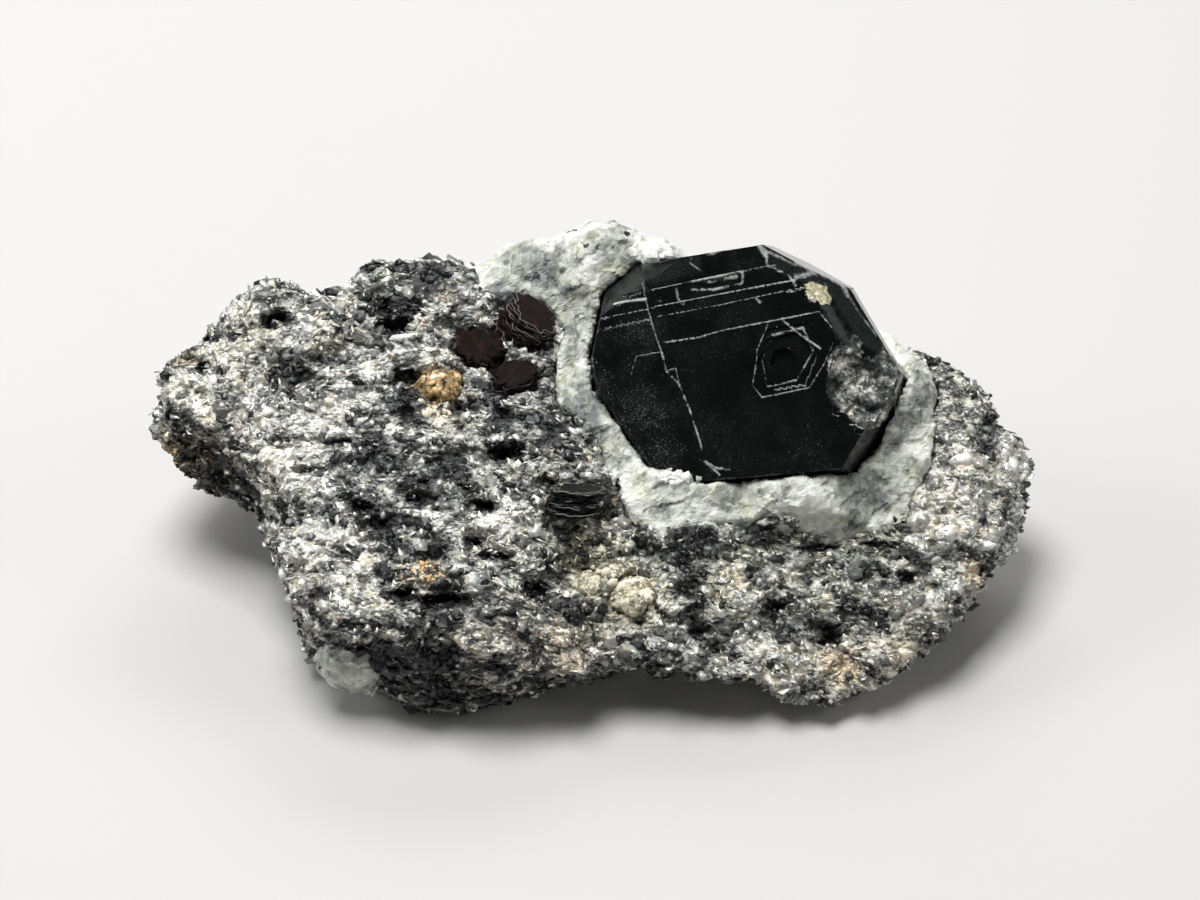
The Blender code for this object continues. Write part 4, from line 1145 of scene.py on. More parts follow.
def uneven_ring(count, corners, stray, reaches, random):
    """Return the angles and reaches of the corners of many uneven rings."""
    angles = np.arange(corners) * FULL_TURN / corners + random.uniform(-stray, stray, (count, corners))
    return angles, random.uniform(*reaches, (count, corners))


def plate_mesh(name, places, normals, sizes, random):
    """Return many five-sided plates that lie roughly along the streaks."""
    ring = uneven_ring(len(places), PLATE_CORNERS, PLATE_STRAY, PLATE_REACH, random)
    return prism_mesh(name, places, normals, sizes, streaked_axes(normals, random), ring)


def slab_mesh(name, places, normals, sizes, random):
    """Return flat cleavage slabs that lie level in the camera's view."""
    level = np.array(LOOK_RIGHT) + random.normal(scale=SLAB_TURN, size=normals.shape)
    across = unit(np.cross(normals, level))
    ring = uneven_ring(len(places), SLAB_CORNERS, SLAB_STRAY, SLAB_REACH, random)
    return prism_mesh(name, places, normals, sizes, (np.cross(across, normals), across), ring)


def crumb_mesh(name, places, radii, random):
    """Return many rough twenty-faced crumbs of the given radii."""
    shape = bmesh.new()
    bmesh.ops.create_icosphere(shape, subdivisions=1, radius=1.0)
    ball = shape_points(shape)
    faces = [tuple(vert.index for vert in face.verts) for face in shape.faces]
    shape.free()
    count = len(places)
    uneven = random.uniform(*CRUMB_UNEVENNESS, (count, len(ball)))
    squeeze = random.uniform(*CRUMB_SQUEEZE, (count, 1, 3))
    points = ball[None, :, :] * uneven[:, :, None] * squeeze * radii[:, None, None]
    normals = unit(random.normal(size=(count, 3)))
    first, second = random_axes(normals, random)
    turns = np.stack((first, second, normals), axis=1)
    turned = np.einsum("nij,njk->nik", points, turns)
    return many_bodies(name, turned + places[:, None, :], faces, ball[:, :2])


# --- vein


def vein_height(place):
    """Return the feldspar's cleaved and sugary relief in millimetres."""
    height = VEIN_SWELL
    for size, seed, relief in VEIN_CHIPS:
        height += relief * chip(place, size, seed)[0]
    size, relief = VEIN_SUGAR
    return height + relief * noise.noise(place / size)


def vein_cloud(place):
    """Return how clear and grey the feldspar is at a place, from 0 to 1."""
    cloud = VEIN_CLOUD
    for size, shift, strength in CLOUD_WAVES:
        cloud += strength * noise.noise(place / size + Vector(shift))
    size, seed, strength = CLOUD_GRAINS
    return cloud + strength * (chip(place, size, seed)[1] - 0.5)


def relieved_vein(settings):
    """Return the feldspar's mesh with its relief, clear areas and dark specks."""
    mesh, places, normals = fine_solid("feldspar_vein", settings.voxel, ROCK_SOFTENING)
    heights = np.array([vein_height(Vector(place)) for place in places])
    moved = places + normals * heights[:, None]
    write_points(mesh, moved)
    tree = solid_tree("feldspar_vein")
    clear = np.array([vein_cloud(Vector(place)) for place in moved])
    for place, radius, amount in CLEAR_AREAS:
        clear += amount * nearness(moved, seen_spot(tree, place)[0], radius)
    speck = np.zeros(len(moved))
    for place, radius in SPECKS:
        speck = np.maximum(speck, nearness(moved, seen_spot(tree, place)[0], radius))
    keep_numbers(mesh, "clear", np.clip(clear, 0.0, 1.0))
    keep_numbers(mesh, "speck", speck)
    mesh.shade_flat()
    return mesh


def feldspar_finish(settings):
    """Return the feldspar's finish: white and cloudy, with clearer grey grains."""
    finish = Finish("white_feldspar")
    place = finish.place()
    grain = finish.cells(place, size=0.42)
    sugar = finish.cells(place, size=0.20)
    haze = finish.noise(place, size=0.13, roughness=0.65)
    level = finish.attribute("clear") + grain.swing(0.38) + haze.swing(0.42)
    colour = finish.ramp(level, (
        (0.00, settings.white),
        (0.45, settings.cloudy),
        (0.80, settings.clear),
        (1.00, settings.deep),
    ))
    dark = finish.between(finish.attribute("speck") + sugar.swing(0.4), low=0.50, high=0.62)
    flaw = finish.between(finish.noise(place, size=0.9, roughness=0.7, detail=4.0), low=0.70, high=0.76)
    colour = finish.mix(dark, colour, (0.012, 0.013, 0.013))
    colour = finish.mix(flaw * 0.5, colour, (0.20, 0.20, 0.19))
    olive = finish.between(finish.noise(place, size=1.7), low=0.52, high=0.66)
    colour = finish.mix(olive * 0.55, colour, (0.90, 0.88, 0.68), "MULTIPLY")
    height = sugar * 0.6 + haze * 0.7 + grain * 0.5
    return finish.surface({
        "Base Color": colour,
        "Roughness": 0.26 + grain * 0.34,
        "Subsurface Weight": 0.35,
        "Subsurface Radius": (0.9, 0.9, 0.85),
        "Subsurface Scale": 0.6 * MM,
        "Normal": finish.bump(height, depth=0.10 * MM),
    })


# --- crystal


def cut_across(shape, axis, step):
    """Cut all faces of a shape by evenly spaced planes across an axis."""
    extent = [vert.co.dot(axis) for vert in shape.verts]
    for distance in np.arange(min(extent) + step, max(extent), step):
        everything = shape.verts[:] + shape.edges[:] + shape.faces[:]
        bmesh.ops.bisect_plane(
            shape, geom=everything, dist=CUT_TOLERANCE, plane_co=axis * distance, plane_no=axis
        )


def segment_distances(points, start, end):
    """Return how far many flat points are from a line segment."""
    start = np.array(start)
    along = np.array(end) - start
    share = np.clip((points - start) @ along / along.dot(along), 0.0, 1.0)
    return np.linalg.norm(points - start - share[:, None] * along, axis=1)


def line_distances(points, line):
    """Return how far many flat points are from a line of several points."""
    nearest = np.full(len(points), np.inf)
    for start, end in zip(line[:-1], line[1:]):
        nearest = np.minimum(nearest, segment_distances(points, start, end))
    return nearest


def refine_near_lines(shape):
    """Split the faces of the crystal's front near its growth lines."""
    points = shape_points(shape)
    close = np.full(len(points), False)
    for line, _, width, _ in GROWTH_LINES:
        close |= line_distances(points[:, :2], line) < width + LINE_MARGIN
    close &= points[:, 2] > FRONT_DEPTH
    shape.verts.ensure_lookup_table()
    shape.verts.index_update()
    edges = [edge for edge in shape.edges if all(close[vert.index] for vert in edge.verts)]
    bmesh.ops.subdivide_edges(shape, edges=edges, cuts=LINE_CUTS, use_grid_fill=True)


def sharp_points(shape):
    """Return which of a shape's points lie on its sharp edges."""
    sharp = np.zeros(len(shape.verts), dtype=bool)
    for edge in shape.edges:
        if edge.is_manifold and edge.calc_face_angle() > SHARP_ANGLE:
            for vert in edge.verts:
                sharp[vert.index] = True
    return sharp


def crystal_shape(settings):
    """Return the crystal's solid cut into fine faces, in its own frame."""
    shape = welded_shape("sapphirine_crystal")
    shape.transform(CRYSTAL_FRAME.inverted())
    bmesh.ops.dissolve_limit(shape, angle_limit=FLAT_BEND, verts=shape.verts[:], edges=shape.edges[:])
    step = settings.face_step / MM
    cut_across(shape, Vector((1.0, 0.0, 0.0)), step)
    cut_across(shape, Vector((0.0, 1.0, 0.0)), step)
    cut_across(shape, Vector((0.0, 0.0, 1.0)), step * DEPTH_STEPS)
    refine_near_lines(shape)
    bmesh.ops.triangulate(shape, faces=shape.faces[:])
    shape.verts.index_update()
    shape.normal_update()
    return shape


def broken_line(point, seed):
    """Return the strength of a pale line at a point, from 0 to 1: a chipped edge, and on the growth steps
    also painted highlight.
    """
    place = Vector((point[0], point[1], seed))
    strength = LINE_STRENGTH
    for size, change in LINE_BREAKS:
        strength += change * noise.noise(place / size)
    return min(max(strength, 0.0), 1.0)


def line_marks(points, front, lines, scale, marks, heights):
    """Add some pale lines, worn edges and painted highlights, to the paleness and height of many flat points.
    """
    for seed, (line, strength, width, rise) in enumerate(lines):
        distance = line_distances(points, line) / scale
        for index in np.flatnonzero((distance < width * LINE_REACH) & front):
            share = math.exp(-((distance[index] / width) ** 2))
            amount = strength * share * broken_line(points[index] / scale, float(seed))
            marks[index] = max(marks[index], amount)
            heights[index] += rise * share


def inside(points, outline):
    """Return which flat points lie inside an outline."""
    found = np.zeros(len(points), dtype=bool)
    for start, end in zip(outline, outline[1:] + outline[:1]):
        crosses = (points[:, 1] > start[1]) != (points[:, 1] > end[1])
        slope = (end[0] - start[0]) / (end[1] - start[1]) if end[1] != start[1] else 0.0
        found ^= crosses & (points[:, 0] < start[0] + slope * (points[:, 1] - start[1]))
    return found


def patch_share(points, outline, edge):
    """Return how far inside an outline many points are, from 0 to 1, with a ragged edge."""
    depth = line_distances(points, outline + outline[:1])
    depth = np.where(inside(points, outline), depth, -depth)
    ragged = np.array([noise.noise(Vector((x, y, 0.0)) / RAGGED_SIZE) for x, y in points])
    return np.clip(0.5 + (depth + RAGGED_DEPTH * ragged) / edge, 0.0, 1.0)


def view_places(places):
    """Return where many places in millimetres appear in the camera's view."""
    offset = places - np.array(CAMERA_PLACE) / MM
    enlarge = VIEW_SCALE * (CAMERA_DISTANCE / MM) / (offset @ np.array(LOOK))
    across = VIEW_MIDDLE[0] + offset @ np.array(LOOK_RIGHT) * enlarge
    down = VIEW_MIDDLE[1] - offset @ np.array(LOOK_UP) * enlarge
    return np.stack((across, down), axis=1)


def crystal_marks(points, normals):
    """Return the crystal's pale (worn edges and painted highlights), dull, chipped and broken shares and its
    relief.
    """
    turn = np.array(CRYSTAL_FRAME.to_3x3()) / MM
    world = points @ turn.T + np.array(CRYSTAL_CENTRE)
    view = view_places(world)
    facing = (normals @ turn.T) @ np.array(LOOK) < -FACING_LIMIT
    pale = np.zeros(len(points))
    height = np.zeros(len(points))
    front = points[:, 2] > FRONT_DEPTH
    line_marks(points[:, :2], front, GROWTH_LINES, 1.0, pale, height)
    line_marks(view, facing, RIM_LINES, VIEW_SCALE, pale, height)
    line, width, depth = GROOVE
    height += depth * falloff(line_distances(view, line) / VIEW_SCALE, width) * facing
    dull = np.zeros(len(points))
    for outline, amount in DULL_PATCHES:
        dull = np.maximum(dull, amount * patch_share(view, outline, DULL_EDGE) * facing)
    chipped = patch_share(view, CHIPPED_PATCH, PATCH_EDGE) * facing
    broken = patch_share(view, BROKEN_PATCH, PATCH_EDGE) * facing
    haze = np.zeros(len(points))
    for place, radius, amount in HAZE_AREAS:
        haze += amount * nearness(view, place, radius)
    return pale, dull, chipped, broken, np.clip(haze, 0.0, 1.0), height


def wear_crystal(points, sharp, marks):
    """Add the wear of the edges and the roughness of the broken patches."""
    pale, _, chipped, broken, _, height = marks
    rim = line_distances(points[:, :2], FRONT_OUTLINE) < RIM_WIDTH
    wave_size, wave_relief = FACE_WAVE
    wear_size, least_wear, wear_relief, wear_paleness = EDGE_WEAR
    for index, point in enumerate(points):
        place = Vector(point)
        height[index] += wave_relief * noise.noise(place / wave_size)
        if sharp[index] and (rim[index] or point[2] < FRONT_DEPTH):
            wear = max(noise.noise(place / wear_size) + least_wear, 0.0)
            height[index] -= wear_relief * wear
            pale[index] = max(pale[index], wear_paleness * wear)
        rough = max(broken[index], chipped[index])
        if rough > 0.0:
            bumps = sum(share * noise.noise(place / size) for size, share in BROKEN_BUMPS)
            height[index] += rough * (BROKEN_RELIEF * bumps - BROKEN_SINK)


def crystal_mesh(settings):
    """Return the crystal with its worn edges, growth lines and broken patch."""
    shape = crystal_shape(settings)
    points = shape_points(shape)
    normals = np.array([tuple(vert.normal) for vert in shape.verts])
    marks = crystal_marks(points, normals)
    wear_crystal(points, sharp_points(shape), marks)
    points = points + normals * marks[5][:, None]
    for vert, point in zip(shape.verts, points):
        vert.co = point
    shape.transform(CRYSTAL_FRAME)
    mesh = mesh_of(shape, "crystal")
    for name, values in zip(("pale", "dull", "chipped", "broken", "haze"), marks):
        keep_numbers(mesh, name, values)
    unwrap(mesh)
    shade_by_angle(mesh)
    return mesh


def sapphirine_finish(settings):
    """Return the crystal's finish: near black and glassy, with pale wear and painted highlights along the
    growth steps.
    """
    finish = Finish("black_sapphirine")
    place = finish.place()
    fine = finish.noise(place, size=0.11, roughness=0.7)
    cloud = finish.noise(place, size=2.6)
    grain = finish.cells(place, size=0.42)
    crumb = finish.cells(place, size=0.17)
    dull = finish.attribute("dull")
    chipped = finish.attribute("chipped")
    broken = finish.attribute("broken")
    line = finish.between(finish.attribute("pale") + fine.swing(0.60), low=0.22, high=0.94)
    haze = finish.attribute("haze")
    speck = finish.noise(place, size=0.17, roughness=0.8, detail=2.0)
    streak = finish.noise(finish.turned_place(CRYSTAL_STREAKS, STREAK_STRETCH), size=1.0)
    cover = haze * finish.between(cloud + speck.swing(0.5), low=0.34, high=0.66)
    dust = finish.between(fine + cover * 0.08, low=0.64, high=0.76) * (0.08 + cover * 0.92)
    dust = dust + finish.between(speck + cover * 0.05, low=0.71, high=0.75) * (0.25 + cover * 0.60)
    scratch = finish.between(streak + cover * 0.05, low=0.66, high=0.78) * (0.05 + cover * 0.50)
    film = haze * finish.between(cloud + fine.swing(0.8), low=0.30, high=0.90)
    worn = dull * (0.25 + finish.between(fine + streak.swing(0.5), low=0.42, high=0.66) * 0.75)
    colour = finish.mix(worn, settings.black, settings.green)
    colour = finish.mix(dust * 0.70 + film * 0.07 + scratch * 0.35, colour, settings.dust)
    # Pale lines: worn edges, and painted highlight along the growth steps.
    colour = finish.mix(line, colour, settings.worn)
    level = grain * 0.28 + crumb * 0.22 + fine * 0.50
    patch = finish.noise(place, size=1.3)
    grit = finish.ramp(level + (patch - 0.52) * 2.0, GRIT_STOPS)
    chip_colour = finish.ramp(level, CHIP_STOPS)
    colour = finish.mix(finish.between(broken, low=0.35, high=0.65), colour, grit)
    colour = finish.mix(finish.between(chipped, low=0.35, high=0.65), colour, chip_colour)
    rough = 0.10 + cloud * 0.08 + dull * 0.25 + line * 0.35 + (broken + chipped) * 0.40
    height = fine * line * 0.8 + (broken + chipped) * level + dull * fine * 0.5
    return finish.surface({
        "Base Color": colour,
        "Roughness": rough,
        "IOR": 1.60,
        "Specular IOR Level": 0.28,
        "Normal": finish.bump(height, depth=0.06 * MM),
    })


# --- mica


def facing_frame(centre, facing, spin):
    """Return the frame of a mica book, whose Z looks along a direction."""
    direction, rise = facing
    around = Matrix.Rotation(math.radians(direction), 4, "Z")
    tilt = Matrix.Rotation(math.radians(90.0 - rise), 4, "Y")
    turn = Matrix.Rotation(math.radians(spin), 4, "Z")
    return Matrix.Translation(Vector(centre) * MM) @ around @ tilt @ turn @ Matrix.Scale(MM, 4)


def book_reach(angle, seed):
    """Return how far a mica sheet's seven-cornered outline lies from its middle."""
    step = FULL_TURN / BOOK_CORNERS
    corner = int(angle / step) % BOOK_CORNERS
    ends = []
    for index in (corner, (corner + 1) % BOOK_CORNERS):
        place = Vector((index * BOOK_NOISE[0], seed * BOOK_NOISE[1], 0.5))
        uneven = 1.0 + BOOK_UNEVENNESS * noise.noise(place)
        turn = index * step
        ends.append(Vector((math.cos(turn) * uneven, math.sin(turn) * uneven)))
    share = (angle - corner * step) / step
    return ends[0].lerp(ends[1], share)


def sheet_noise(spot, seed, index, pattern):
    """Return noise at a flat spot of a sheet, which changes from sheet to sheet."""
    strength, closeness, change = pattern
    return strength * noise.noise(Vector((spot.x * closeness, spot.y * closeness, seed + index * change)))


def sheet_points(row, index):
    """Return the rings of points of one wavy mica sheet, top and bottom."""
    _, _, _, _, half_size, depth, slip, sheets, seed = row
    share = index / (sheets - 1)
    middle = Vector((slip[0] * share, slip[1] * share))
    high = -share * (depth - SHEET_THICKNESS)
    outline = []
    for step in range(BOOK_OUTLINE):
        angle = step * FULL_TURN / BOOK_OUTLINE
        reach = book_reach(angle, seed + int(share * BOOK_PARTS))
        worn = 1.0 + sheet_noise(reach, seed, index, SHEET_WEAR)
        outline.append(Vector((reach.x * half_size[0], reach.y * half_size[1])) * worn)
    rings = []
    for side in (0.0, -SHEET_THICKNESS):
        for reach in SHEET_RINGS:
            ring = []
            for point in outline:
                spot = middle + point * reach
                lift = sheet_noise(spot, seed, index, SHEET_WAVE)
                lift += sheet_noise(spot, seed, index, SHEET_RIPPLE) * reach
                ring.append((spot.x, spot.y, high + side + lift))
            rings.append(ring)
    return rings


def add_sheet(shape, rings, shine, edge_marks):
    """Add one closed mica sheet to a shape and mark how far its rim shines."""
    count = len(SHEET_RINGS)
    verts = []
    for number, ring in enumerate(rings):
        verts.append([shape.verts.new(point) for point in ring])
        edge_marks.extend([shine if number % count == count - 1 else 0.0] * len(ring))
    shape.faces.new(verts[0])
    shape.faces.new(verts[count][::-1])
    for number in range(count - 1):
        bridge(shape, verts[number], verts[number + 1])
        bridge(shape, verts[count + number + 1], verts[count + number])
    bridge(shape, verts[count - 1], verts[2 * count - 1])


def bridge(shape, inner, outer):
    """Join two rings of points by faces."""
    for step, _ in enumerate(inner):
        following = (step + 1) % len(inner)
        shape.faces.new((inner[step], outer[step], outer[following], inner[following]))


def book_mesh(row):
    """Return one mica book as a stack of separate thin sheets."""
    shape = bmesh.new()
    marks = []
    for index in range(row[7]):
        shine = noise.cell_vector(Vector((index, row[8], 0.5))).x
        add_sheet(shape, sheet_points(row, index), shine, marks)
    shape.transform(facing_frame(row[1], row[2], row[3]))
    bmesh.ops.recalc_face_normals(shape, faces=shape.faces[:])
    mesh = mesh_of(shape, row[0])
    keep_numbers(mesh, "rim", marks)
    shade_by_angle(mesh)
    return mesh


def mica_finish(name, face_colour, glow_colour, rim_colour):
    """Return a mica book's finish: dark glossy faces with painted glints, and pale sheet edges painted as
    highlights.
    """
    finish = Finish(name)
    place = finish.place()
    cloud = finish.noise(place, size=0.8)
    fine = finish.noise(place, size=0.09, roughness=0.7)
    cells = finish.cells(place, size=0.42)
    rim = finish.between(finish.attribute("rim") + cloud.swing(1.2), low=0.45, high=0.85)
    # Painted glints: small pale specks on the faces.
    speck = finish.between(fine, low=0.68, high=0.74)
    glow = cloud + fine.swing(0.9) + cells.swing(0.30)
    colour = finish.mix(finish.between(glow, low=0.54, high=0.84), face_colour, glow_colour)
    colour = finish.mix(speck * 0.30, colour, rim_colour)
    # Painted highlight along the sheets' split edges.
    colour = finish.mix(rim * 0.75, colour, rim_colour)
    return finish.surface({
        "Base Color": colour,
        "Roughness": 0.09 + fine * 0.16 + rim * 0.2,
        "Specular IOR Level": 0.13,
        "Normal": finish.bump(fine * 0.7 + cells * 0.9 + cloud, depth=0.24 * MM),
    })


# --- grains


def grain_height(place, chips, depth):
    """Return a grain's relief in millimetres at a place."""
    bumps = sum(share * chip(place, chips * size, seed)[0] for size, seed, share in GRAIN_CHIP_KINDS)
    return GRAIN_SWELL + depth * bumps


def grain_mesh(name, node, chips, depth):
    """Return a small grain's mesh, cleaved and pitted all over."""
    mesh, places, normals = fine_solid(node, GRAIN_VOXEL, GRAIN_SOFTENING)
    heights = np.array([grain_height(Vector(place), chips, depth) for place in places])
    moved = places + normals * heights[:, None]
    moved[:, 2] = np.maximum(moved[:, 2], 0.0)
    write_points(mesh, moved)
    mesh.name = name
    mesh.shade_flat()
    return mesh


def surface_tree(names):
    """Return a search tree over several finished pieces."""
    shape = bmesh.new()
    for name in names:
        shape.from_mesh(piece_mesh(name))
    return tree_of(shape)


def cluster_mesh(name, tree, place, half_size, count, random):
    """Return crumbs strewn over an oval spot that is named by its place in the view."""
    turns = random.uniform(0.0, FULL_TURN, count)
    reach = np.sqrt(random.random(count))
    across = place[0] + half_size[0] * reach * np.cos(turns)
    down = place[1] + half_size[1] * reach * np.sin(turns)
    spots = [seen_spot(tree, spot) for spot in zip(across, down)]
    radii = random.lognormal(math.log(CLUSTER_CRUMB), CLUSTER_SPREAD, count)
    sink = radii * CLUSTER_SINK
    centres = [spot - normal * depth for (spot, normal), depth in zip(spots, sink)]
    return crumb_mesh(name, np.array(centres), radii, random)


def grain_finish(name, stops, roughness):
    """Return the finish of a small translucent grain."""
    finish = Finish(name)
    place = finish.place()
    grain = finish.cells(place, size=0.32)
    haze = finish.noise(place, size=0.22, roughness=0.65)
    patch = finish.noise(place, size=1.0)
    level = grain * 0.45 + haze * 0.90 + patch * 1.30 - 0.83
    return finish.surface({
        "Base Color": finish.ramp(level, stops),
        "Roughness": roughness + grain * 0.2,
        "Subsurface Weight": 0.25,
        "Subsurface Radius": (0.9, 0.7, 0.4),
        "Subsurface Scale": 0.4 * MM,
        "Normal": finish.bump(haze + grain * 0.5, depth=0.08 * MM),
    })


# --- settings


def colour_setting(name, description, default):
    """Return a setting that holds a colour."""
    return FloatVectorProperty(name=name, description=description, default=default, subtype="COLOR")


def count_setting(name, description, default):
    """Return a setting that holds a number of things."""
    return IntProperty(name=name, description=description, default=default, min=0)


def size_setting(name, description, default, least):
    """Return a setting that holds a length."""
    return FloatProperty(
        name=name, description=description, default=default, min=least, unit="LENGTH", precision=5
    )


class SchistSettings(bpy.types.PropertyGroup):
    """Sizes and colours of the mica schist."""

    voxel: size_setting("Face size", "Size of the schist's fine faces", 0.30 * MM, 0.2 * MM)
    silver_plates: count_setting("Silver plates", "How many bright mica plates lie on the schist", 9000)
    silver_flakes: count_setting("Silver flakes", "How many small bright mica flakes lie on the schist", 9500)
    dark_plates: count_setting("Dark plates", "How many black mica plates lie on the schist", 6800)
    crumbs: count_setting("Crumbs", "How many light mineral grains lie on the schist", 2900)
    warm: colour_setting("Rust tint", "Colour of the stained grains", (0.90, 0.62, 0.28))
    green: colour_setting("Green tint", "Colour of the greenish grains", (0.72, 0.78, 0.52))
    brown: colour_setting("Brown tint", "Colour of the brown mica grains", (0.62, 0.44, 0.34))


class VeinSettings(bpy.types.PropertyGroup):
    """Sizes and colours of the feldspar."""

    voxel: size_setting("Face size", "Size of the feldspar's fine faces", 0.215 * MM, 0.1 * MM)
    white: colour_setting("White", "Colour of the milky feldspar", (0.80, 0.815, 0.765))
    cloudy: colour_setting("Cloudy", "Colour of the cloudy feldspar", (0.53, 0.545, 0.495))
    clear: colour_setting("Clear", "Colour of the clearer grey feldspar", (0.27, 0.285, 0.250))
    deep: colour_setting("Deep", "Colour of the clearest feldspar", (0.14, 0.155, 0.155))


class CrystalSettings(bpy.types.PropertyGroup):
    """Sizes and colours of the sapphirine crystal."""

    face_step: size_setting("Face size", "Size of the crystal's fine faces", 0.155 * MM, 0.08 * MM)
    black: colour_setting("Black", "Colour of the crystal's faces", (0.0016, 0.0022, 0.0022))
    green: colour_setting("Green", "Colour of the crystal's dull facets", (0.042, 0.054, 0.048))
    # The worn edge colour also paints highlight along the growth steps.
    worn: colour_setting("Worn edge", "Colour of the broken edges of the growth steps", (0.42, 0.44, 0.42))
    dust: colour_setting("Dust", "Colour of the dust on the crystal's faces", (0.20, 0.22, 0.21))


class MicaSettings(bpy.types.PropertyGroup):
    """Colours of the mica books."""

    brown: colour_setting("Brown mica", "Colour of the brown books' faces", (0.0075, 0.0032, 0.0026))
    red: colour_setting("Red glow", "Colour where the brown books let light through", (0.036, 0.009, 0.006))
    black: colour_setting("Black mica", "Colour of the black book's faces", (0.007, 0.007, 0.007))
    # This colour paints highlight along the sheets' edges and glints on their faces.
    rim: colour_setting("Sheet edge", "Colour of the sheets' split edges", (0.42, 0.42, 0.40))


class StageSettings(bpy.types.PropertyGroup):
    """Light and floor of the studio."""

    daylight: FloatProperty(
        name="Room light", description="Strength of the even light of the room",
        default=0.06, min=0.0,
    )
    floor: colour_setting("Floor", "Colour of the floor", FLOOR_COLOUR)


# --- operators


class SPECIMEN_OT_schist(bpy.types.Operator):
    """Make the mica schist with its chips, ledges and pits"""

    bl_idname = "specimen.schist"
    bl_label = "Schist"

    def execute(self, context):
        settings = context.scene.specimen_schist
        mesh = relieved_schist(settings, SchistMap())
        add_piece("schist_surface", mesh, schist_finish(settings), ["schist_matrix"])
        return {"FINISHED"}


def plate_sizes(count, length, widths, thicknesses, random):
    """Return half lengths, half widths and thicknesses of many mica plates."""
    least, most = PLATE_LENGTH_RANGE
    long = varied(length, PLATE_LENGTH_SPREAD, length * least, length * most, count, random)
    width = long * random.uniform(*widths, count)
    thickness = long * random.uniform(*thicknesses, count)
    return np.stack((long, width, thickness), axis=1)


def plate_normals(normals, random):
    """Return the directions of plates that partly follow the schist's layers."""
    layers = np.array(LAYER_NORMAL) * np.where(normals @ np.array(LAYER_NORMAL) < 0.0, -1.0, 1.0)[:, None]
    share = random.uniform(*PLATE_LAYER_SHARE, (len(normals), 1))
    tilt = random.normal(scale=PLATE_TILT, size=normals.shape)
    return unit(normals * (1.0 - share) + layers * share + tilt)


class SPECIMEN_OT_plates(bpy.types.Operator):
    """Lay bright and dark mica plates on the schist"""

    bl_idname = "specimen.plates"
    bl_label = "Mica Plates"

    def execute(self, context):
        settings = context.scene.specimen_schist
        random = np.random.default_rng(PLATE_SEED)
        base = piece_mesh("schist_surface")
        counts = (settings.silver_plates, settings.silver_flakes, settings.dark_plates)
        total = sum(counts)
        places, normals = scattered(base, int(total * PLATE_SPARES), random)
        keep = has_room(places)
        places, normals = places[keep][:total], normals[keep][:total]
        # These tones carry the rock's painted shade over to the plates.
        tones = SchistMap().tones(places, normals)
        order = np.argsort(-(tones[0] + random.normal(scale=PLATE_SHUFFLE, size=len(places))))
        bright = random.permutation(order[:counts[0] + counts[1]])
        parts = (bright[:counts[0]], bright[counts[0]:], order[counts[0] + counts[1]:])
        for kind, part in zip(PLATE_KINDS, parts):
            name, shift, length, widths, thicknesses, spread = kind
            spots, facing = places[part], plate_normals(normals[part], random)
            sizes = plate_sizes(len(part), length, widths, thicknesses, random)
            spots = spots + normals[part] * (sizes[:, 2:] * PLATE_RISE)
            mesh = plate_mesh(name, spots, facing, sizes, random)
            tone = np.clip(tones[0][part] + shift + random.normal(scale=spread, size=len(part)), 0.0, 1.0)
            keep_tones(mesh, (tone, tones[1][part] * PLATE_WARMTH, tones[2][part]))
            add_piece(name, mesh, plate_finish(name, settings, shift > 0.0))
        return {"FINISHED"}


def loose_finish(name, settings, size, amount):
    """Return a new finish for loose grains, with its colour and its dust."""
    finish = Finish(name)
    place = finish.place()
    dust = finish.noise(place, size=size, roughness=0.7)
    level = finish.attribute("tone") + dust.swing(amount)
    return finish, tinted(finish, finish.ramp(level, TONES), place, settings), dust


def plate_finish(name, settings, bright):
    """Return the finish of loose mica plates: silvery or black."""
    finish, colour, dust = loose_finish(name, settings, size=0.11, amount=0.35)
    return finish.surface({
        "Base Color": colour,
        "Roughness": 0.20 + dust * 0.22,
        "Metallic": 0.5 if bright else 0.2,
        "Specular IOR Level": 0.8,
    })


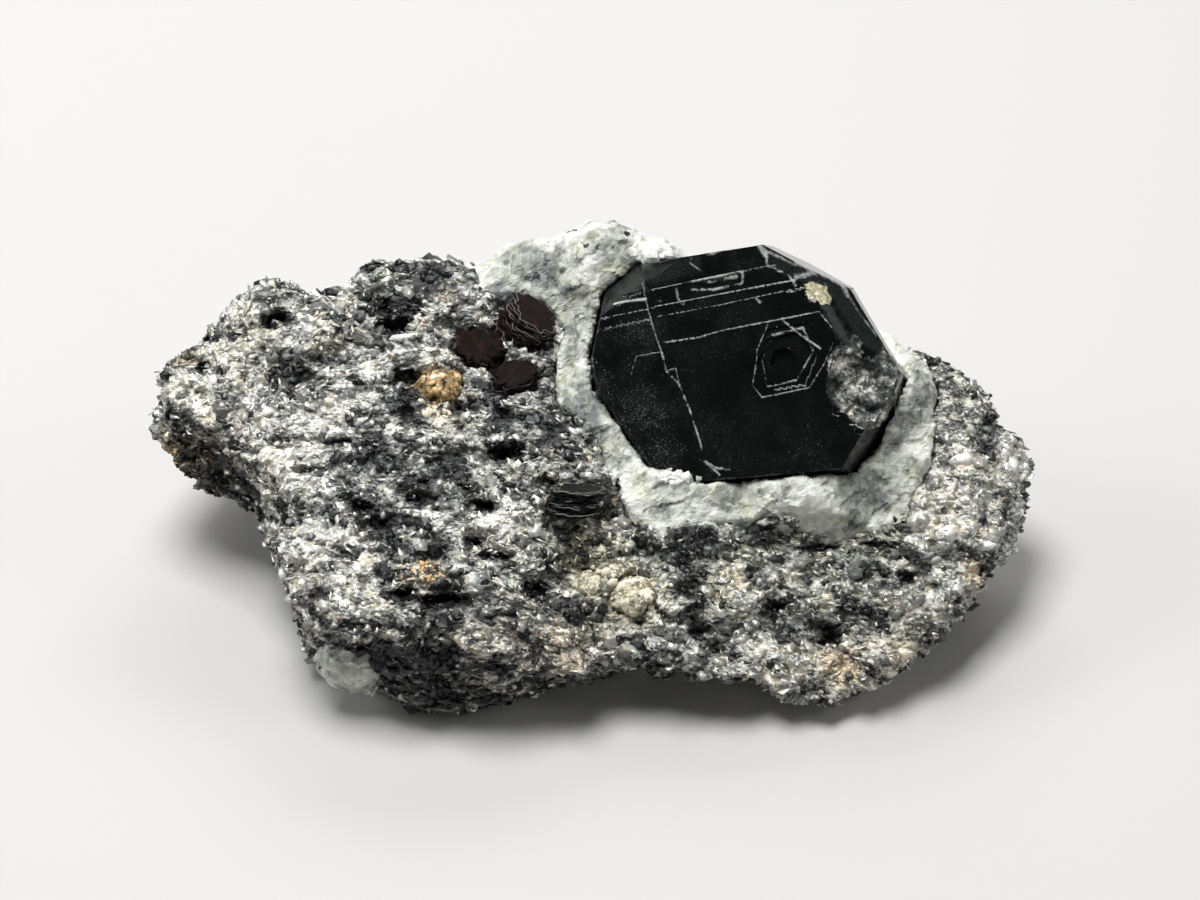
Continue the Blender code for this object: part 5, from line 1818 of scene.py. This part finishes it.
class SPECIMEN_OT_crumbs(bpy.types.Operator):
    """Strew light mineral crumbs over the schist and set its large bright plates"""

    bl_idname = "specimen.crumbs"
    bl_label = "Crumbs"

    def execute(self, context):
        settings = context.scene.specimen_schist
        random = np.random.default_rng(CRUMB_SEED)
        base = piece_mesh("schist_surface")
        places, normals = scattered(base, int(settings.crumbs * CRUMB_SPARES), random)
        # These tones carry the rock's painted shade over to the crumbs.
        tones = SchistMap().tones(places, normals)
        slope, level, least = CRUMB_CHANCE
        likely = random.random(len(places)) < np.clip(tones[0] * slope + level, least, 1.0)
        part = np.flatnonzero(likely & has_room(places))[:settings.crumbs]
        radii = varied(CRUMB_RADIUS, CRUMB_SPREAD, *CRUMB_RANGE, len(part), random)
        mesh = crumb_mesh("mineral_crumbs", places[part], radii, random)
        level, share, spread, darkest = CRUMB_TONE
        stray = random.normal(scale=spread, size=len(part))
        tone = np.clip(level + share * tones[0][part] + stray, darkest, 1.0)
        extra = random.choice(CRUMB_WARMTH, len(part), p=CRUMB_WARMTH_SHARES)
        keep_tones(mesh, (tone, np.clip(tones[1][part] + extra, 0.0, 1.0), tones[2][part]))
        add_piece("mineral_crumbs", mesh, crumb_finish("mineral_crumbs", settings))
        self.add_flat_plates(settings, random)
        return {"FINISHED"}

    def add_flat_plates(self, settings, random):
        """Set the single flat plates that have places of their own."""
        tree = surface_tree(["schist_surface"])
        spots = [seen_spot(tree, place) for place, _, _ in FLAT_PLATES]
        half_sizes = np.array([half_size for _, half_size, _ in FLAT_PLATES]) * SLAB_SHRINK
        sizes = np.column_stack((half_sizes, np.full(len(spots), SLAB_THICKNESS)))
        tones = np.array([tone for _, _, tone in FLAT_PLATES])
        tilt = random.normal(scale=SLAB_TILT, size=(len(spots), 3))
        rock_share, view_share = SLAB_SHARES
        slopes = np.array([normal for _, normal in spots])
        normals = unit(slopes * rock_share - np.array(LOOK) * view_share + tilt)
        places = np.array([spot for spot, _ in spots]) + normals * SLAB_THICKNESS * SLAB_RISE
        mesh = slab_mesh("flat_plates", places, normals, sizes, random)
        keep_tones(mesh, (tones, np.zeros(len(spots)), np.zeros(len(spots))))
        add_piece("flat_plates", mesh, crumb_finish("flat_plates", settings))


def crumb_finish(name, settings):
    """Return the finish of light crumbs of feldspar and quartz."""
    finish, colour, dust = loose_finish(name, settings, size=0.14, amount=0.40)
    return finish.surface({
        "Base Color": colour,
        "Roughness": 0.30 + dust * 0.3,
        "Normal": finish.bump(dust, depth=0.05 * MM),
    })


class SPECIMEN_OT_vein(bpy.types.Operator):
    """Make the white feldspar vein and the corner of the same mineral"""

    bl_idname = "specimen.vein"
    bl_label = "Feldspar"

    def execute(self, context):
        settings = context.scene.specimen_vein
        finish = feldspar_finish(settings)
        vein = relieved_vein(settings)
        add_piece("vein_surface", vein, finish, ["feldspar_vein"])
        corner = grain_mesh("feldspar_crust", "feldspar_corner", *CRUST_CHIPS)
        self.paint_shade_and_stains(corner)
        add_piece("feldspar_crust", corner, finish, ["feldspar_corner"])
        return {"FINISHED"}

    def paint_shade_and_stains(self, mesh):
        """Make the corner's feldspar greyer than the vein as painted shade, with dark stains."""
        places, _ = read_points(mesh)
        for name, (middle, strength, size, shift) in CRUST_LOOKS.items():
            waves = [noise.noise(Vector(place) / size + Vector(shift)) for place in places]
            keep_numbers(mesh, name, np.clip(middle + strength * np.array(waves), 0.0, 1.0))


def near_border(mesh, other, stray, count, random):
    """Return places and directions on a mesh that lie close to another piece."""
    tree = surface_tree((other,))
    places, normals = scattered(mesh, count * BORDER_TRIES, random)
    reach = stray * random.random(len(places)) ** 2
    near = [
        tree.find_nearest(Vector(place) * MM, distance * MM)[0] is not None
        for place, distance in zip(places, reach)
    ]
    keep = np.flatnonzero(np.array(near) & (places[:, 2] > PLATE_FLOOR))[:count]
    return places[keep], normals[keep]


class SPECIMEN_OT_border(bpy.types.Operator):
    """Strew flakes over the feldspar's border and feldspar crumbs over the schist's"""

    bl_idname = "specimen.border"
    bl_label = "Border"

    def execute(self, context):
        settings = context.scene.specimen_schist
        random = np.random.default_rng(BORDER_SEED)
        count, stray, length = BORDER_FLAKES
        vein = piece_mesh("vein_surface")
        places, normals = near_border(vein, "schist_surface", stray, count, random)
        # These tones carry the rock's painted shade over to the flakes.
        tones = SchistMap().tones(places, normals)
        change, spread = BORDER_TONE
        tone = np.clip(tones[0] + change + random.normal(scale=spread, size=len(places)), 0.0, 1.0)
        sizes = plate_sizes(len(places), length, *BORDER_SHAPES, random)
        mesh = plate_mesh("border_flakes", places, plate_normals(normals, random), sizes, random)
        keep_tones(mesh, (tone, tones[1] * PLATE_WARMTH, tones[2]))
        add_piece("border_flakes", mesh, plate_finish("border_flakes", settings, True))
        self.add_crumbs(random)
        return {"FINISHED"}

    def add_crumbs(self, random):
        """Strew small feldspar crumbs over the schist beside the vein."""
        count, stray, radius = BORDER_CRUMBS
        schist = piece_mesh("schist_surface")
        places, _ = near_border(schist, "vein_surface", stray, count, random)
        radii = varied(radius, *BORDER_RADII, len(places), random)
        mesh = crumb_mesh("border_crumbs", places, radii, random)
        add_piece("border_crumbs", mesh, plain_finish("white_feldspar"))


class SPECIMEN_OT_crystal(bpy.types.Operator):
    """Make the black sapphirine crystal with its growth steps and broken patch"""

    bl_idname = "specimen.crystal"
    bl_label = "Sapphirine Crystal"

    def execute(self, context):
        settings = context.scene.specimen_crystal
        finish = sapphirine_finish(settings)
        add_piece("crystal", crystal_mesh(settings), finish, ["sapphirine_crystal"])
        return {"FINISHED"}


class SPECIMEN_OT_mica_books(bpy.types.Operator):
    """Make the brown and black mica books as stacks of thin sheets"""

    bl_idname = "specimen.mica_books"
    bl_label = "Mica Books"

    def execute(self, context):
        settings = context.scene.specimen_mica
        brown = mica_finish("red_brown_mica", settings.brown, settings.red, settings.rim)
        black = mica_finish("black_mica", settings.black, settings.black, settings.rim)
        for row in BOOKS:
            finish, slot = (black, "black_mica") if row[0] == "black_mica_book" else (brown, "red_brown_mica")
            add_piece(row[0] + "_sheets", book_mesh(row), finish, [row[0]])
        return {"FINISHED"}


class SPECIMEN_OT_grains(bpy.types.Operator):
    """Make the amber grain, the cream grains and the clusters of crumbs"""

    bl_idname = "specimen.grains"
    bl_label = "Grains"

    def execute(self, context):
        finishes = {slot: grain_finish(slot, stops, roughness) for slot, stops, roughness in GRAIN_FINISHES}
        for name, node, slot in GRAINS:
            add_piece(name, grain_mesh(name, node, *GRAIN_CHIPS), finishes[slot], [node])
        random = np.random.default_rng(CLUSTER_SEED)
        tree = surface_tree(CLUSTER_GROUND)
        for name, slot, place, half_size, count in CLUSTERS:
            mesh = cluster_mesh(name, tree, place, half_size, count, random)
            add_piece(name, mesh, plain_finish(slot))
        return {"FINISHED"}


def aim_object(item, place, direction):
    """Put a lamp or camera at a place, looking along a direction."""
    turn = direction.to_track_quat("-Z", "Y").to_matrix().to_4x4()
    item.matrix_world = Matrix.Translation(place) @ turn


class SPECIMEN_OT_stage(bpy.types.Operator):
    """Set up the floor, the studio light and the camera"""

    bl_idname = "specimen.stage"
    bl_label = "Stage"

    def execute(self, context):
        settings = context.scene.specimen_stage
        self.add_floor(settings)
        self.add_room_light(context.scene, settings)
        for name, place, size, power in SOFTBOXES:
            self.add_softbox(name, Vector(place), size, power)
        self.add_camera(context.scene)
        return {"FINISHED"}

    def add_floor(self, settings):
        """Add the plain pale floor."""
        shape = bmesh.new()
        bmesh.ops.create_grid(shape, x_segments=1, y_segments=1, size=FLOOR_SIZE / 2.0)
        floor = add_object("floor", mesh_of(shape, "floor"))
        paper = {"Base Color": opaque(settings.floor), "Roughness": PAPER_ROUGHNESS}
        floor.data.materials.append(Finish("floor_paper").surface(paper))

    def add_room_light(self, scene, settings):
        """Give the room an even dim light."""
        world = bpy.data.worlds.new("room")
        world.use_nodes = True
        background = world.node_tree.nodes["Background"]
        background.inputs["Color"].default_value = (1.0, 1.0, 1.0, 1.0)
        background.inputs["Strength"].default_value = settings.daylight
        scene.world = world
        scene.view_settings.view_transform = "Standard"

    def add_softbox(self, name, place, size, power):
        """Add one softbox that faces the specimen."""
        light = bpy.data.lights.new(name, "AREA")
        light.shape = "RECTANGLE"
        light.size, light.size_y = size
        light.energy = power
        aim_object(add_object(name, light), place, CAMERA_AIM - place)

    def add_camera(self, scene):
        """Add the camera, which looks down at the specimen from the front."""
        lens = bpy.data.cameras.new("camera")
        lens.sensor_width = SENSOR_WIDTH
        width = VIEW_WIDTH / VIEW_SCALE * MM
        lens.lens = SENSOR_WIDTH * CAMERA_DISTANCE / width
        lens.clip_start = NEAREST_SEEN
        scene.camera = add_object("camera", lens)
        aim_object(scene.camera, CAMERA_PLACE, LOOK)


class SPECIMEN_PT_panel(bpy.types.Panel):
    """Sizes and steps of the specimen's finish"""

    bl_idname = "SPECIMEN_PT_panel"
    bl_label = "Specimen Finish"
    bl_space_type = "VIEW_3D"
    bl_region_type = "UI"
    bl_category = "Specimen"

    def draw(self, context):
        for group in GROUPS:
            box = self.layout.box()
            settings = getattr(context.scene, group)
            for name in settings.__annotations__:
                box.prop(settings, name)
        for operator in OPERATORS:
            self.layout.operator(operator.bl_idname)


OPERATORS = (
    SPECIMEN_OT_schist,
    SPECIMEN_OT_plates,
    SPECIMEN_OT_crumbs,
    SPECIMEN_OT_vein,
    SPECIMEN_OT_border,
    SPECIMEN_OT_crystal,
    SPECIMEN_OT_mica_books,
    SPECIMEN_OT_grains,
    SPECIMEN_OT_stage,
)
GROUPS = {
    "specimen_schist": SchistSettings,
    "specimen_vein": VeinSettings,
    "specimen_crystal": CrystalSettings,
    "specimen_mica": MicaSettings,
    "specimen_stage": StageSettings,
}


def register():
    """Register the settings, operators and panel."""
    for name, group in GROUPS.items():
        bpy.utils.register_class(group)
        setattr(bpy.types.Scene, name, PointerProperty(type=group))
    for item in (*OPERATORS, SPECIMEN_PT_panel):
        bpy.utils.register_class(item)


def unregister():
    """Take the settings, operators and panel away again."""
    for item in (SPECIMEN_PT_panel, *reversed(OPERATORS)):
        bpy.utils.unregister_class(item)
    for name, group in GROUPS.items():
        delattr(bpy.types.Scene, name)
        bpy.utils.unregister_class(group)


def main():
    """Run every step in order."""
    register()
    bpy.ops.specimen.schist()
    bpy.ops.specimen.plates()
    bpy.ops.specimen.crumbs()
    bpy.ops.specimen.vein()
    bpy.ops.specimen.border()
    bpy.ops.specimen.crystal()
    bpy.ops.specimen.mica_books()
    bpy.ops.specimen.grains()
    bpy.ops.specimen.stage()


if __name__ == "__main__":
    main()
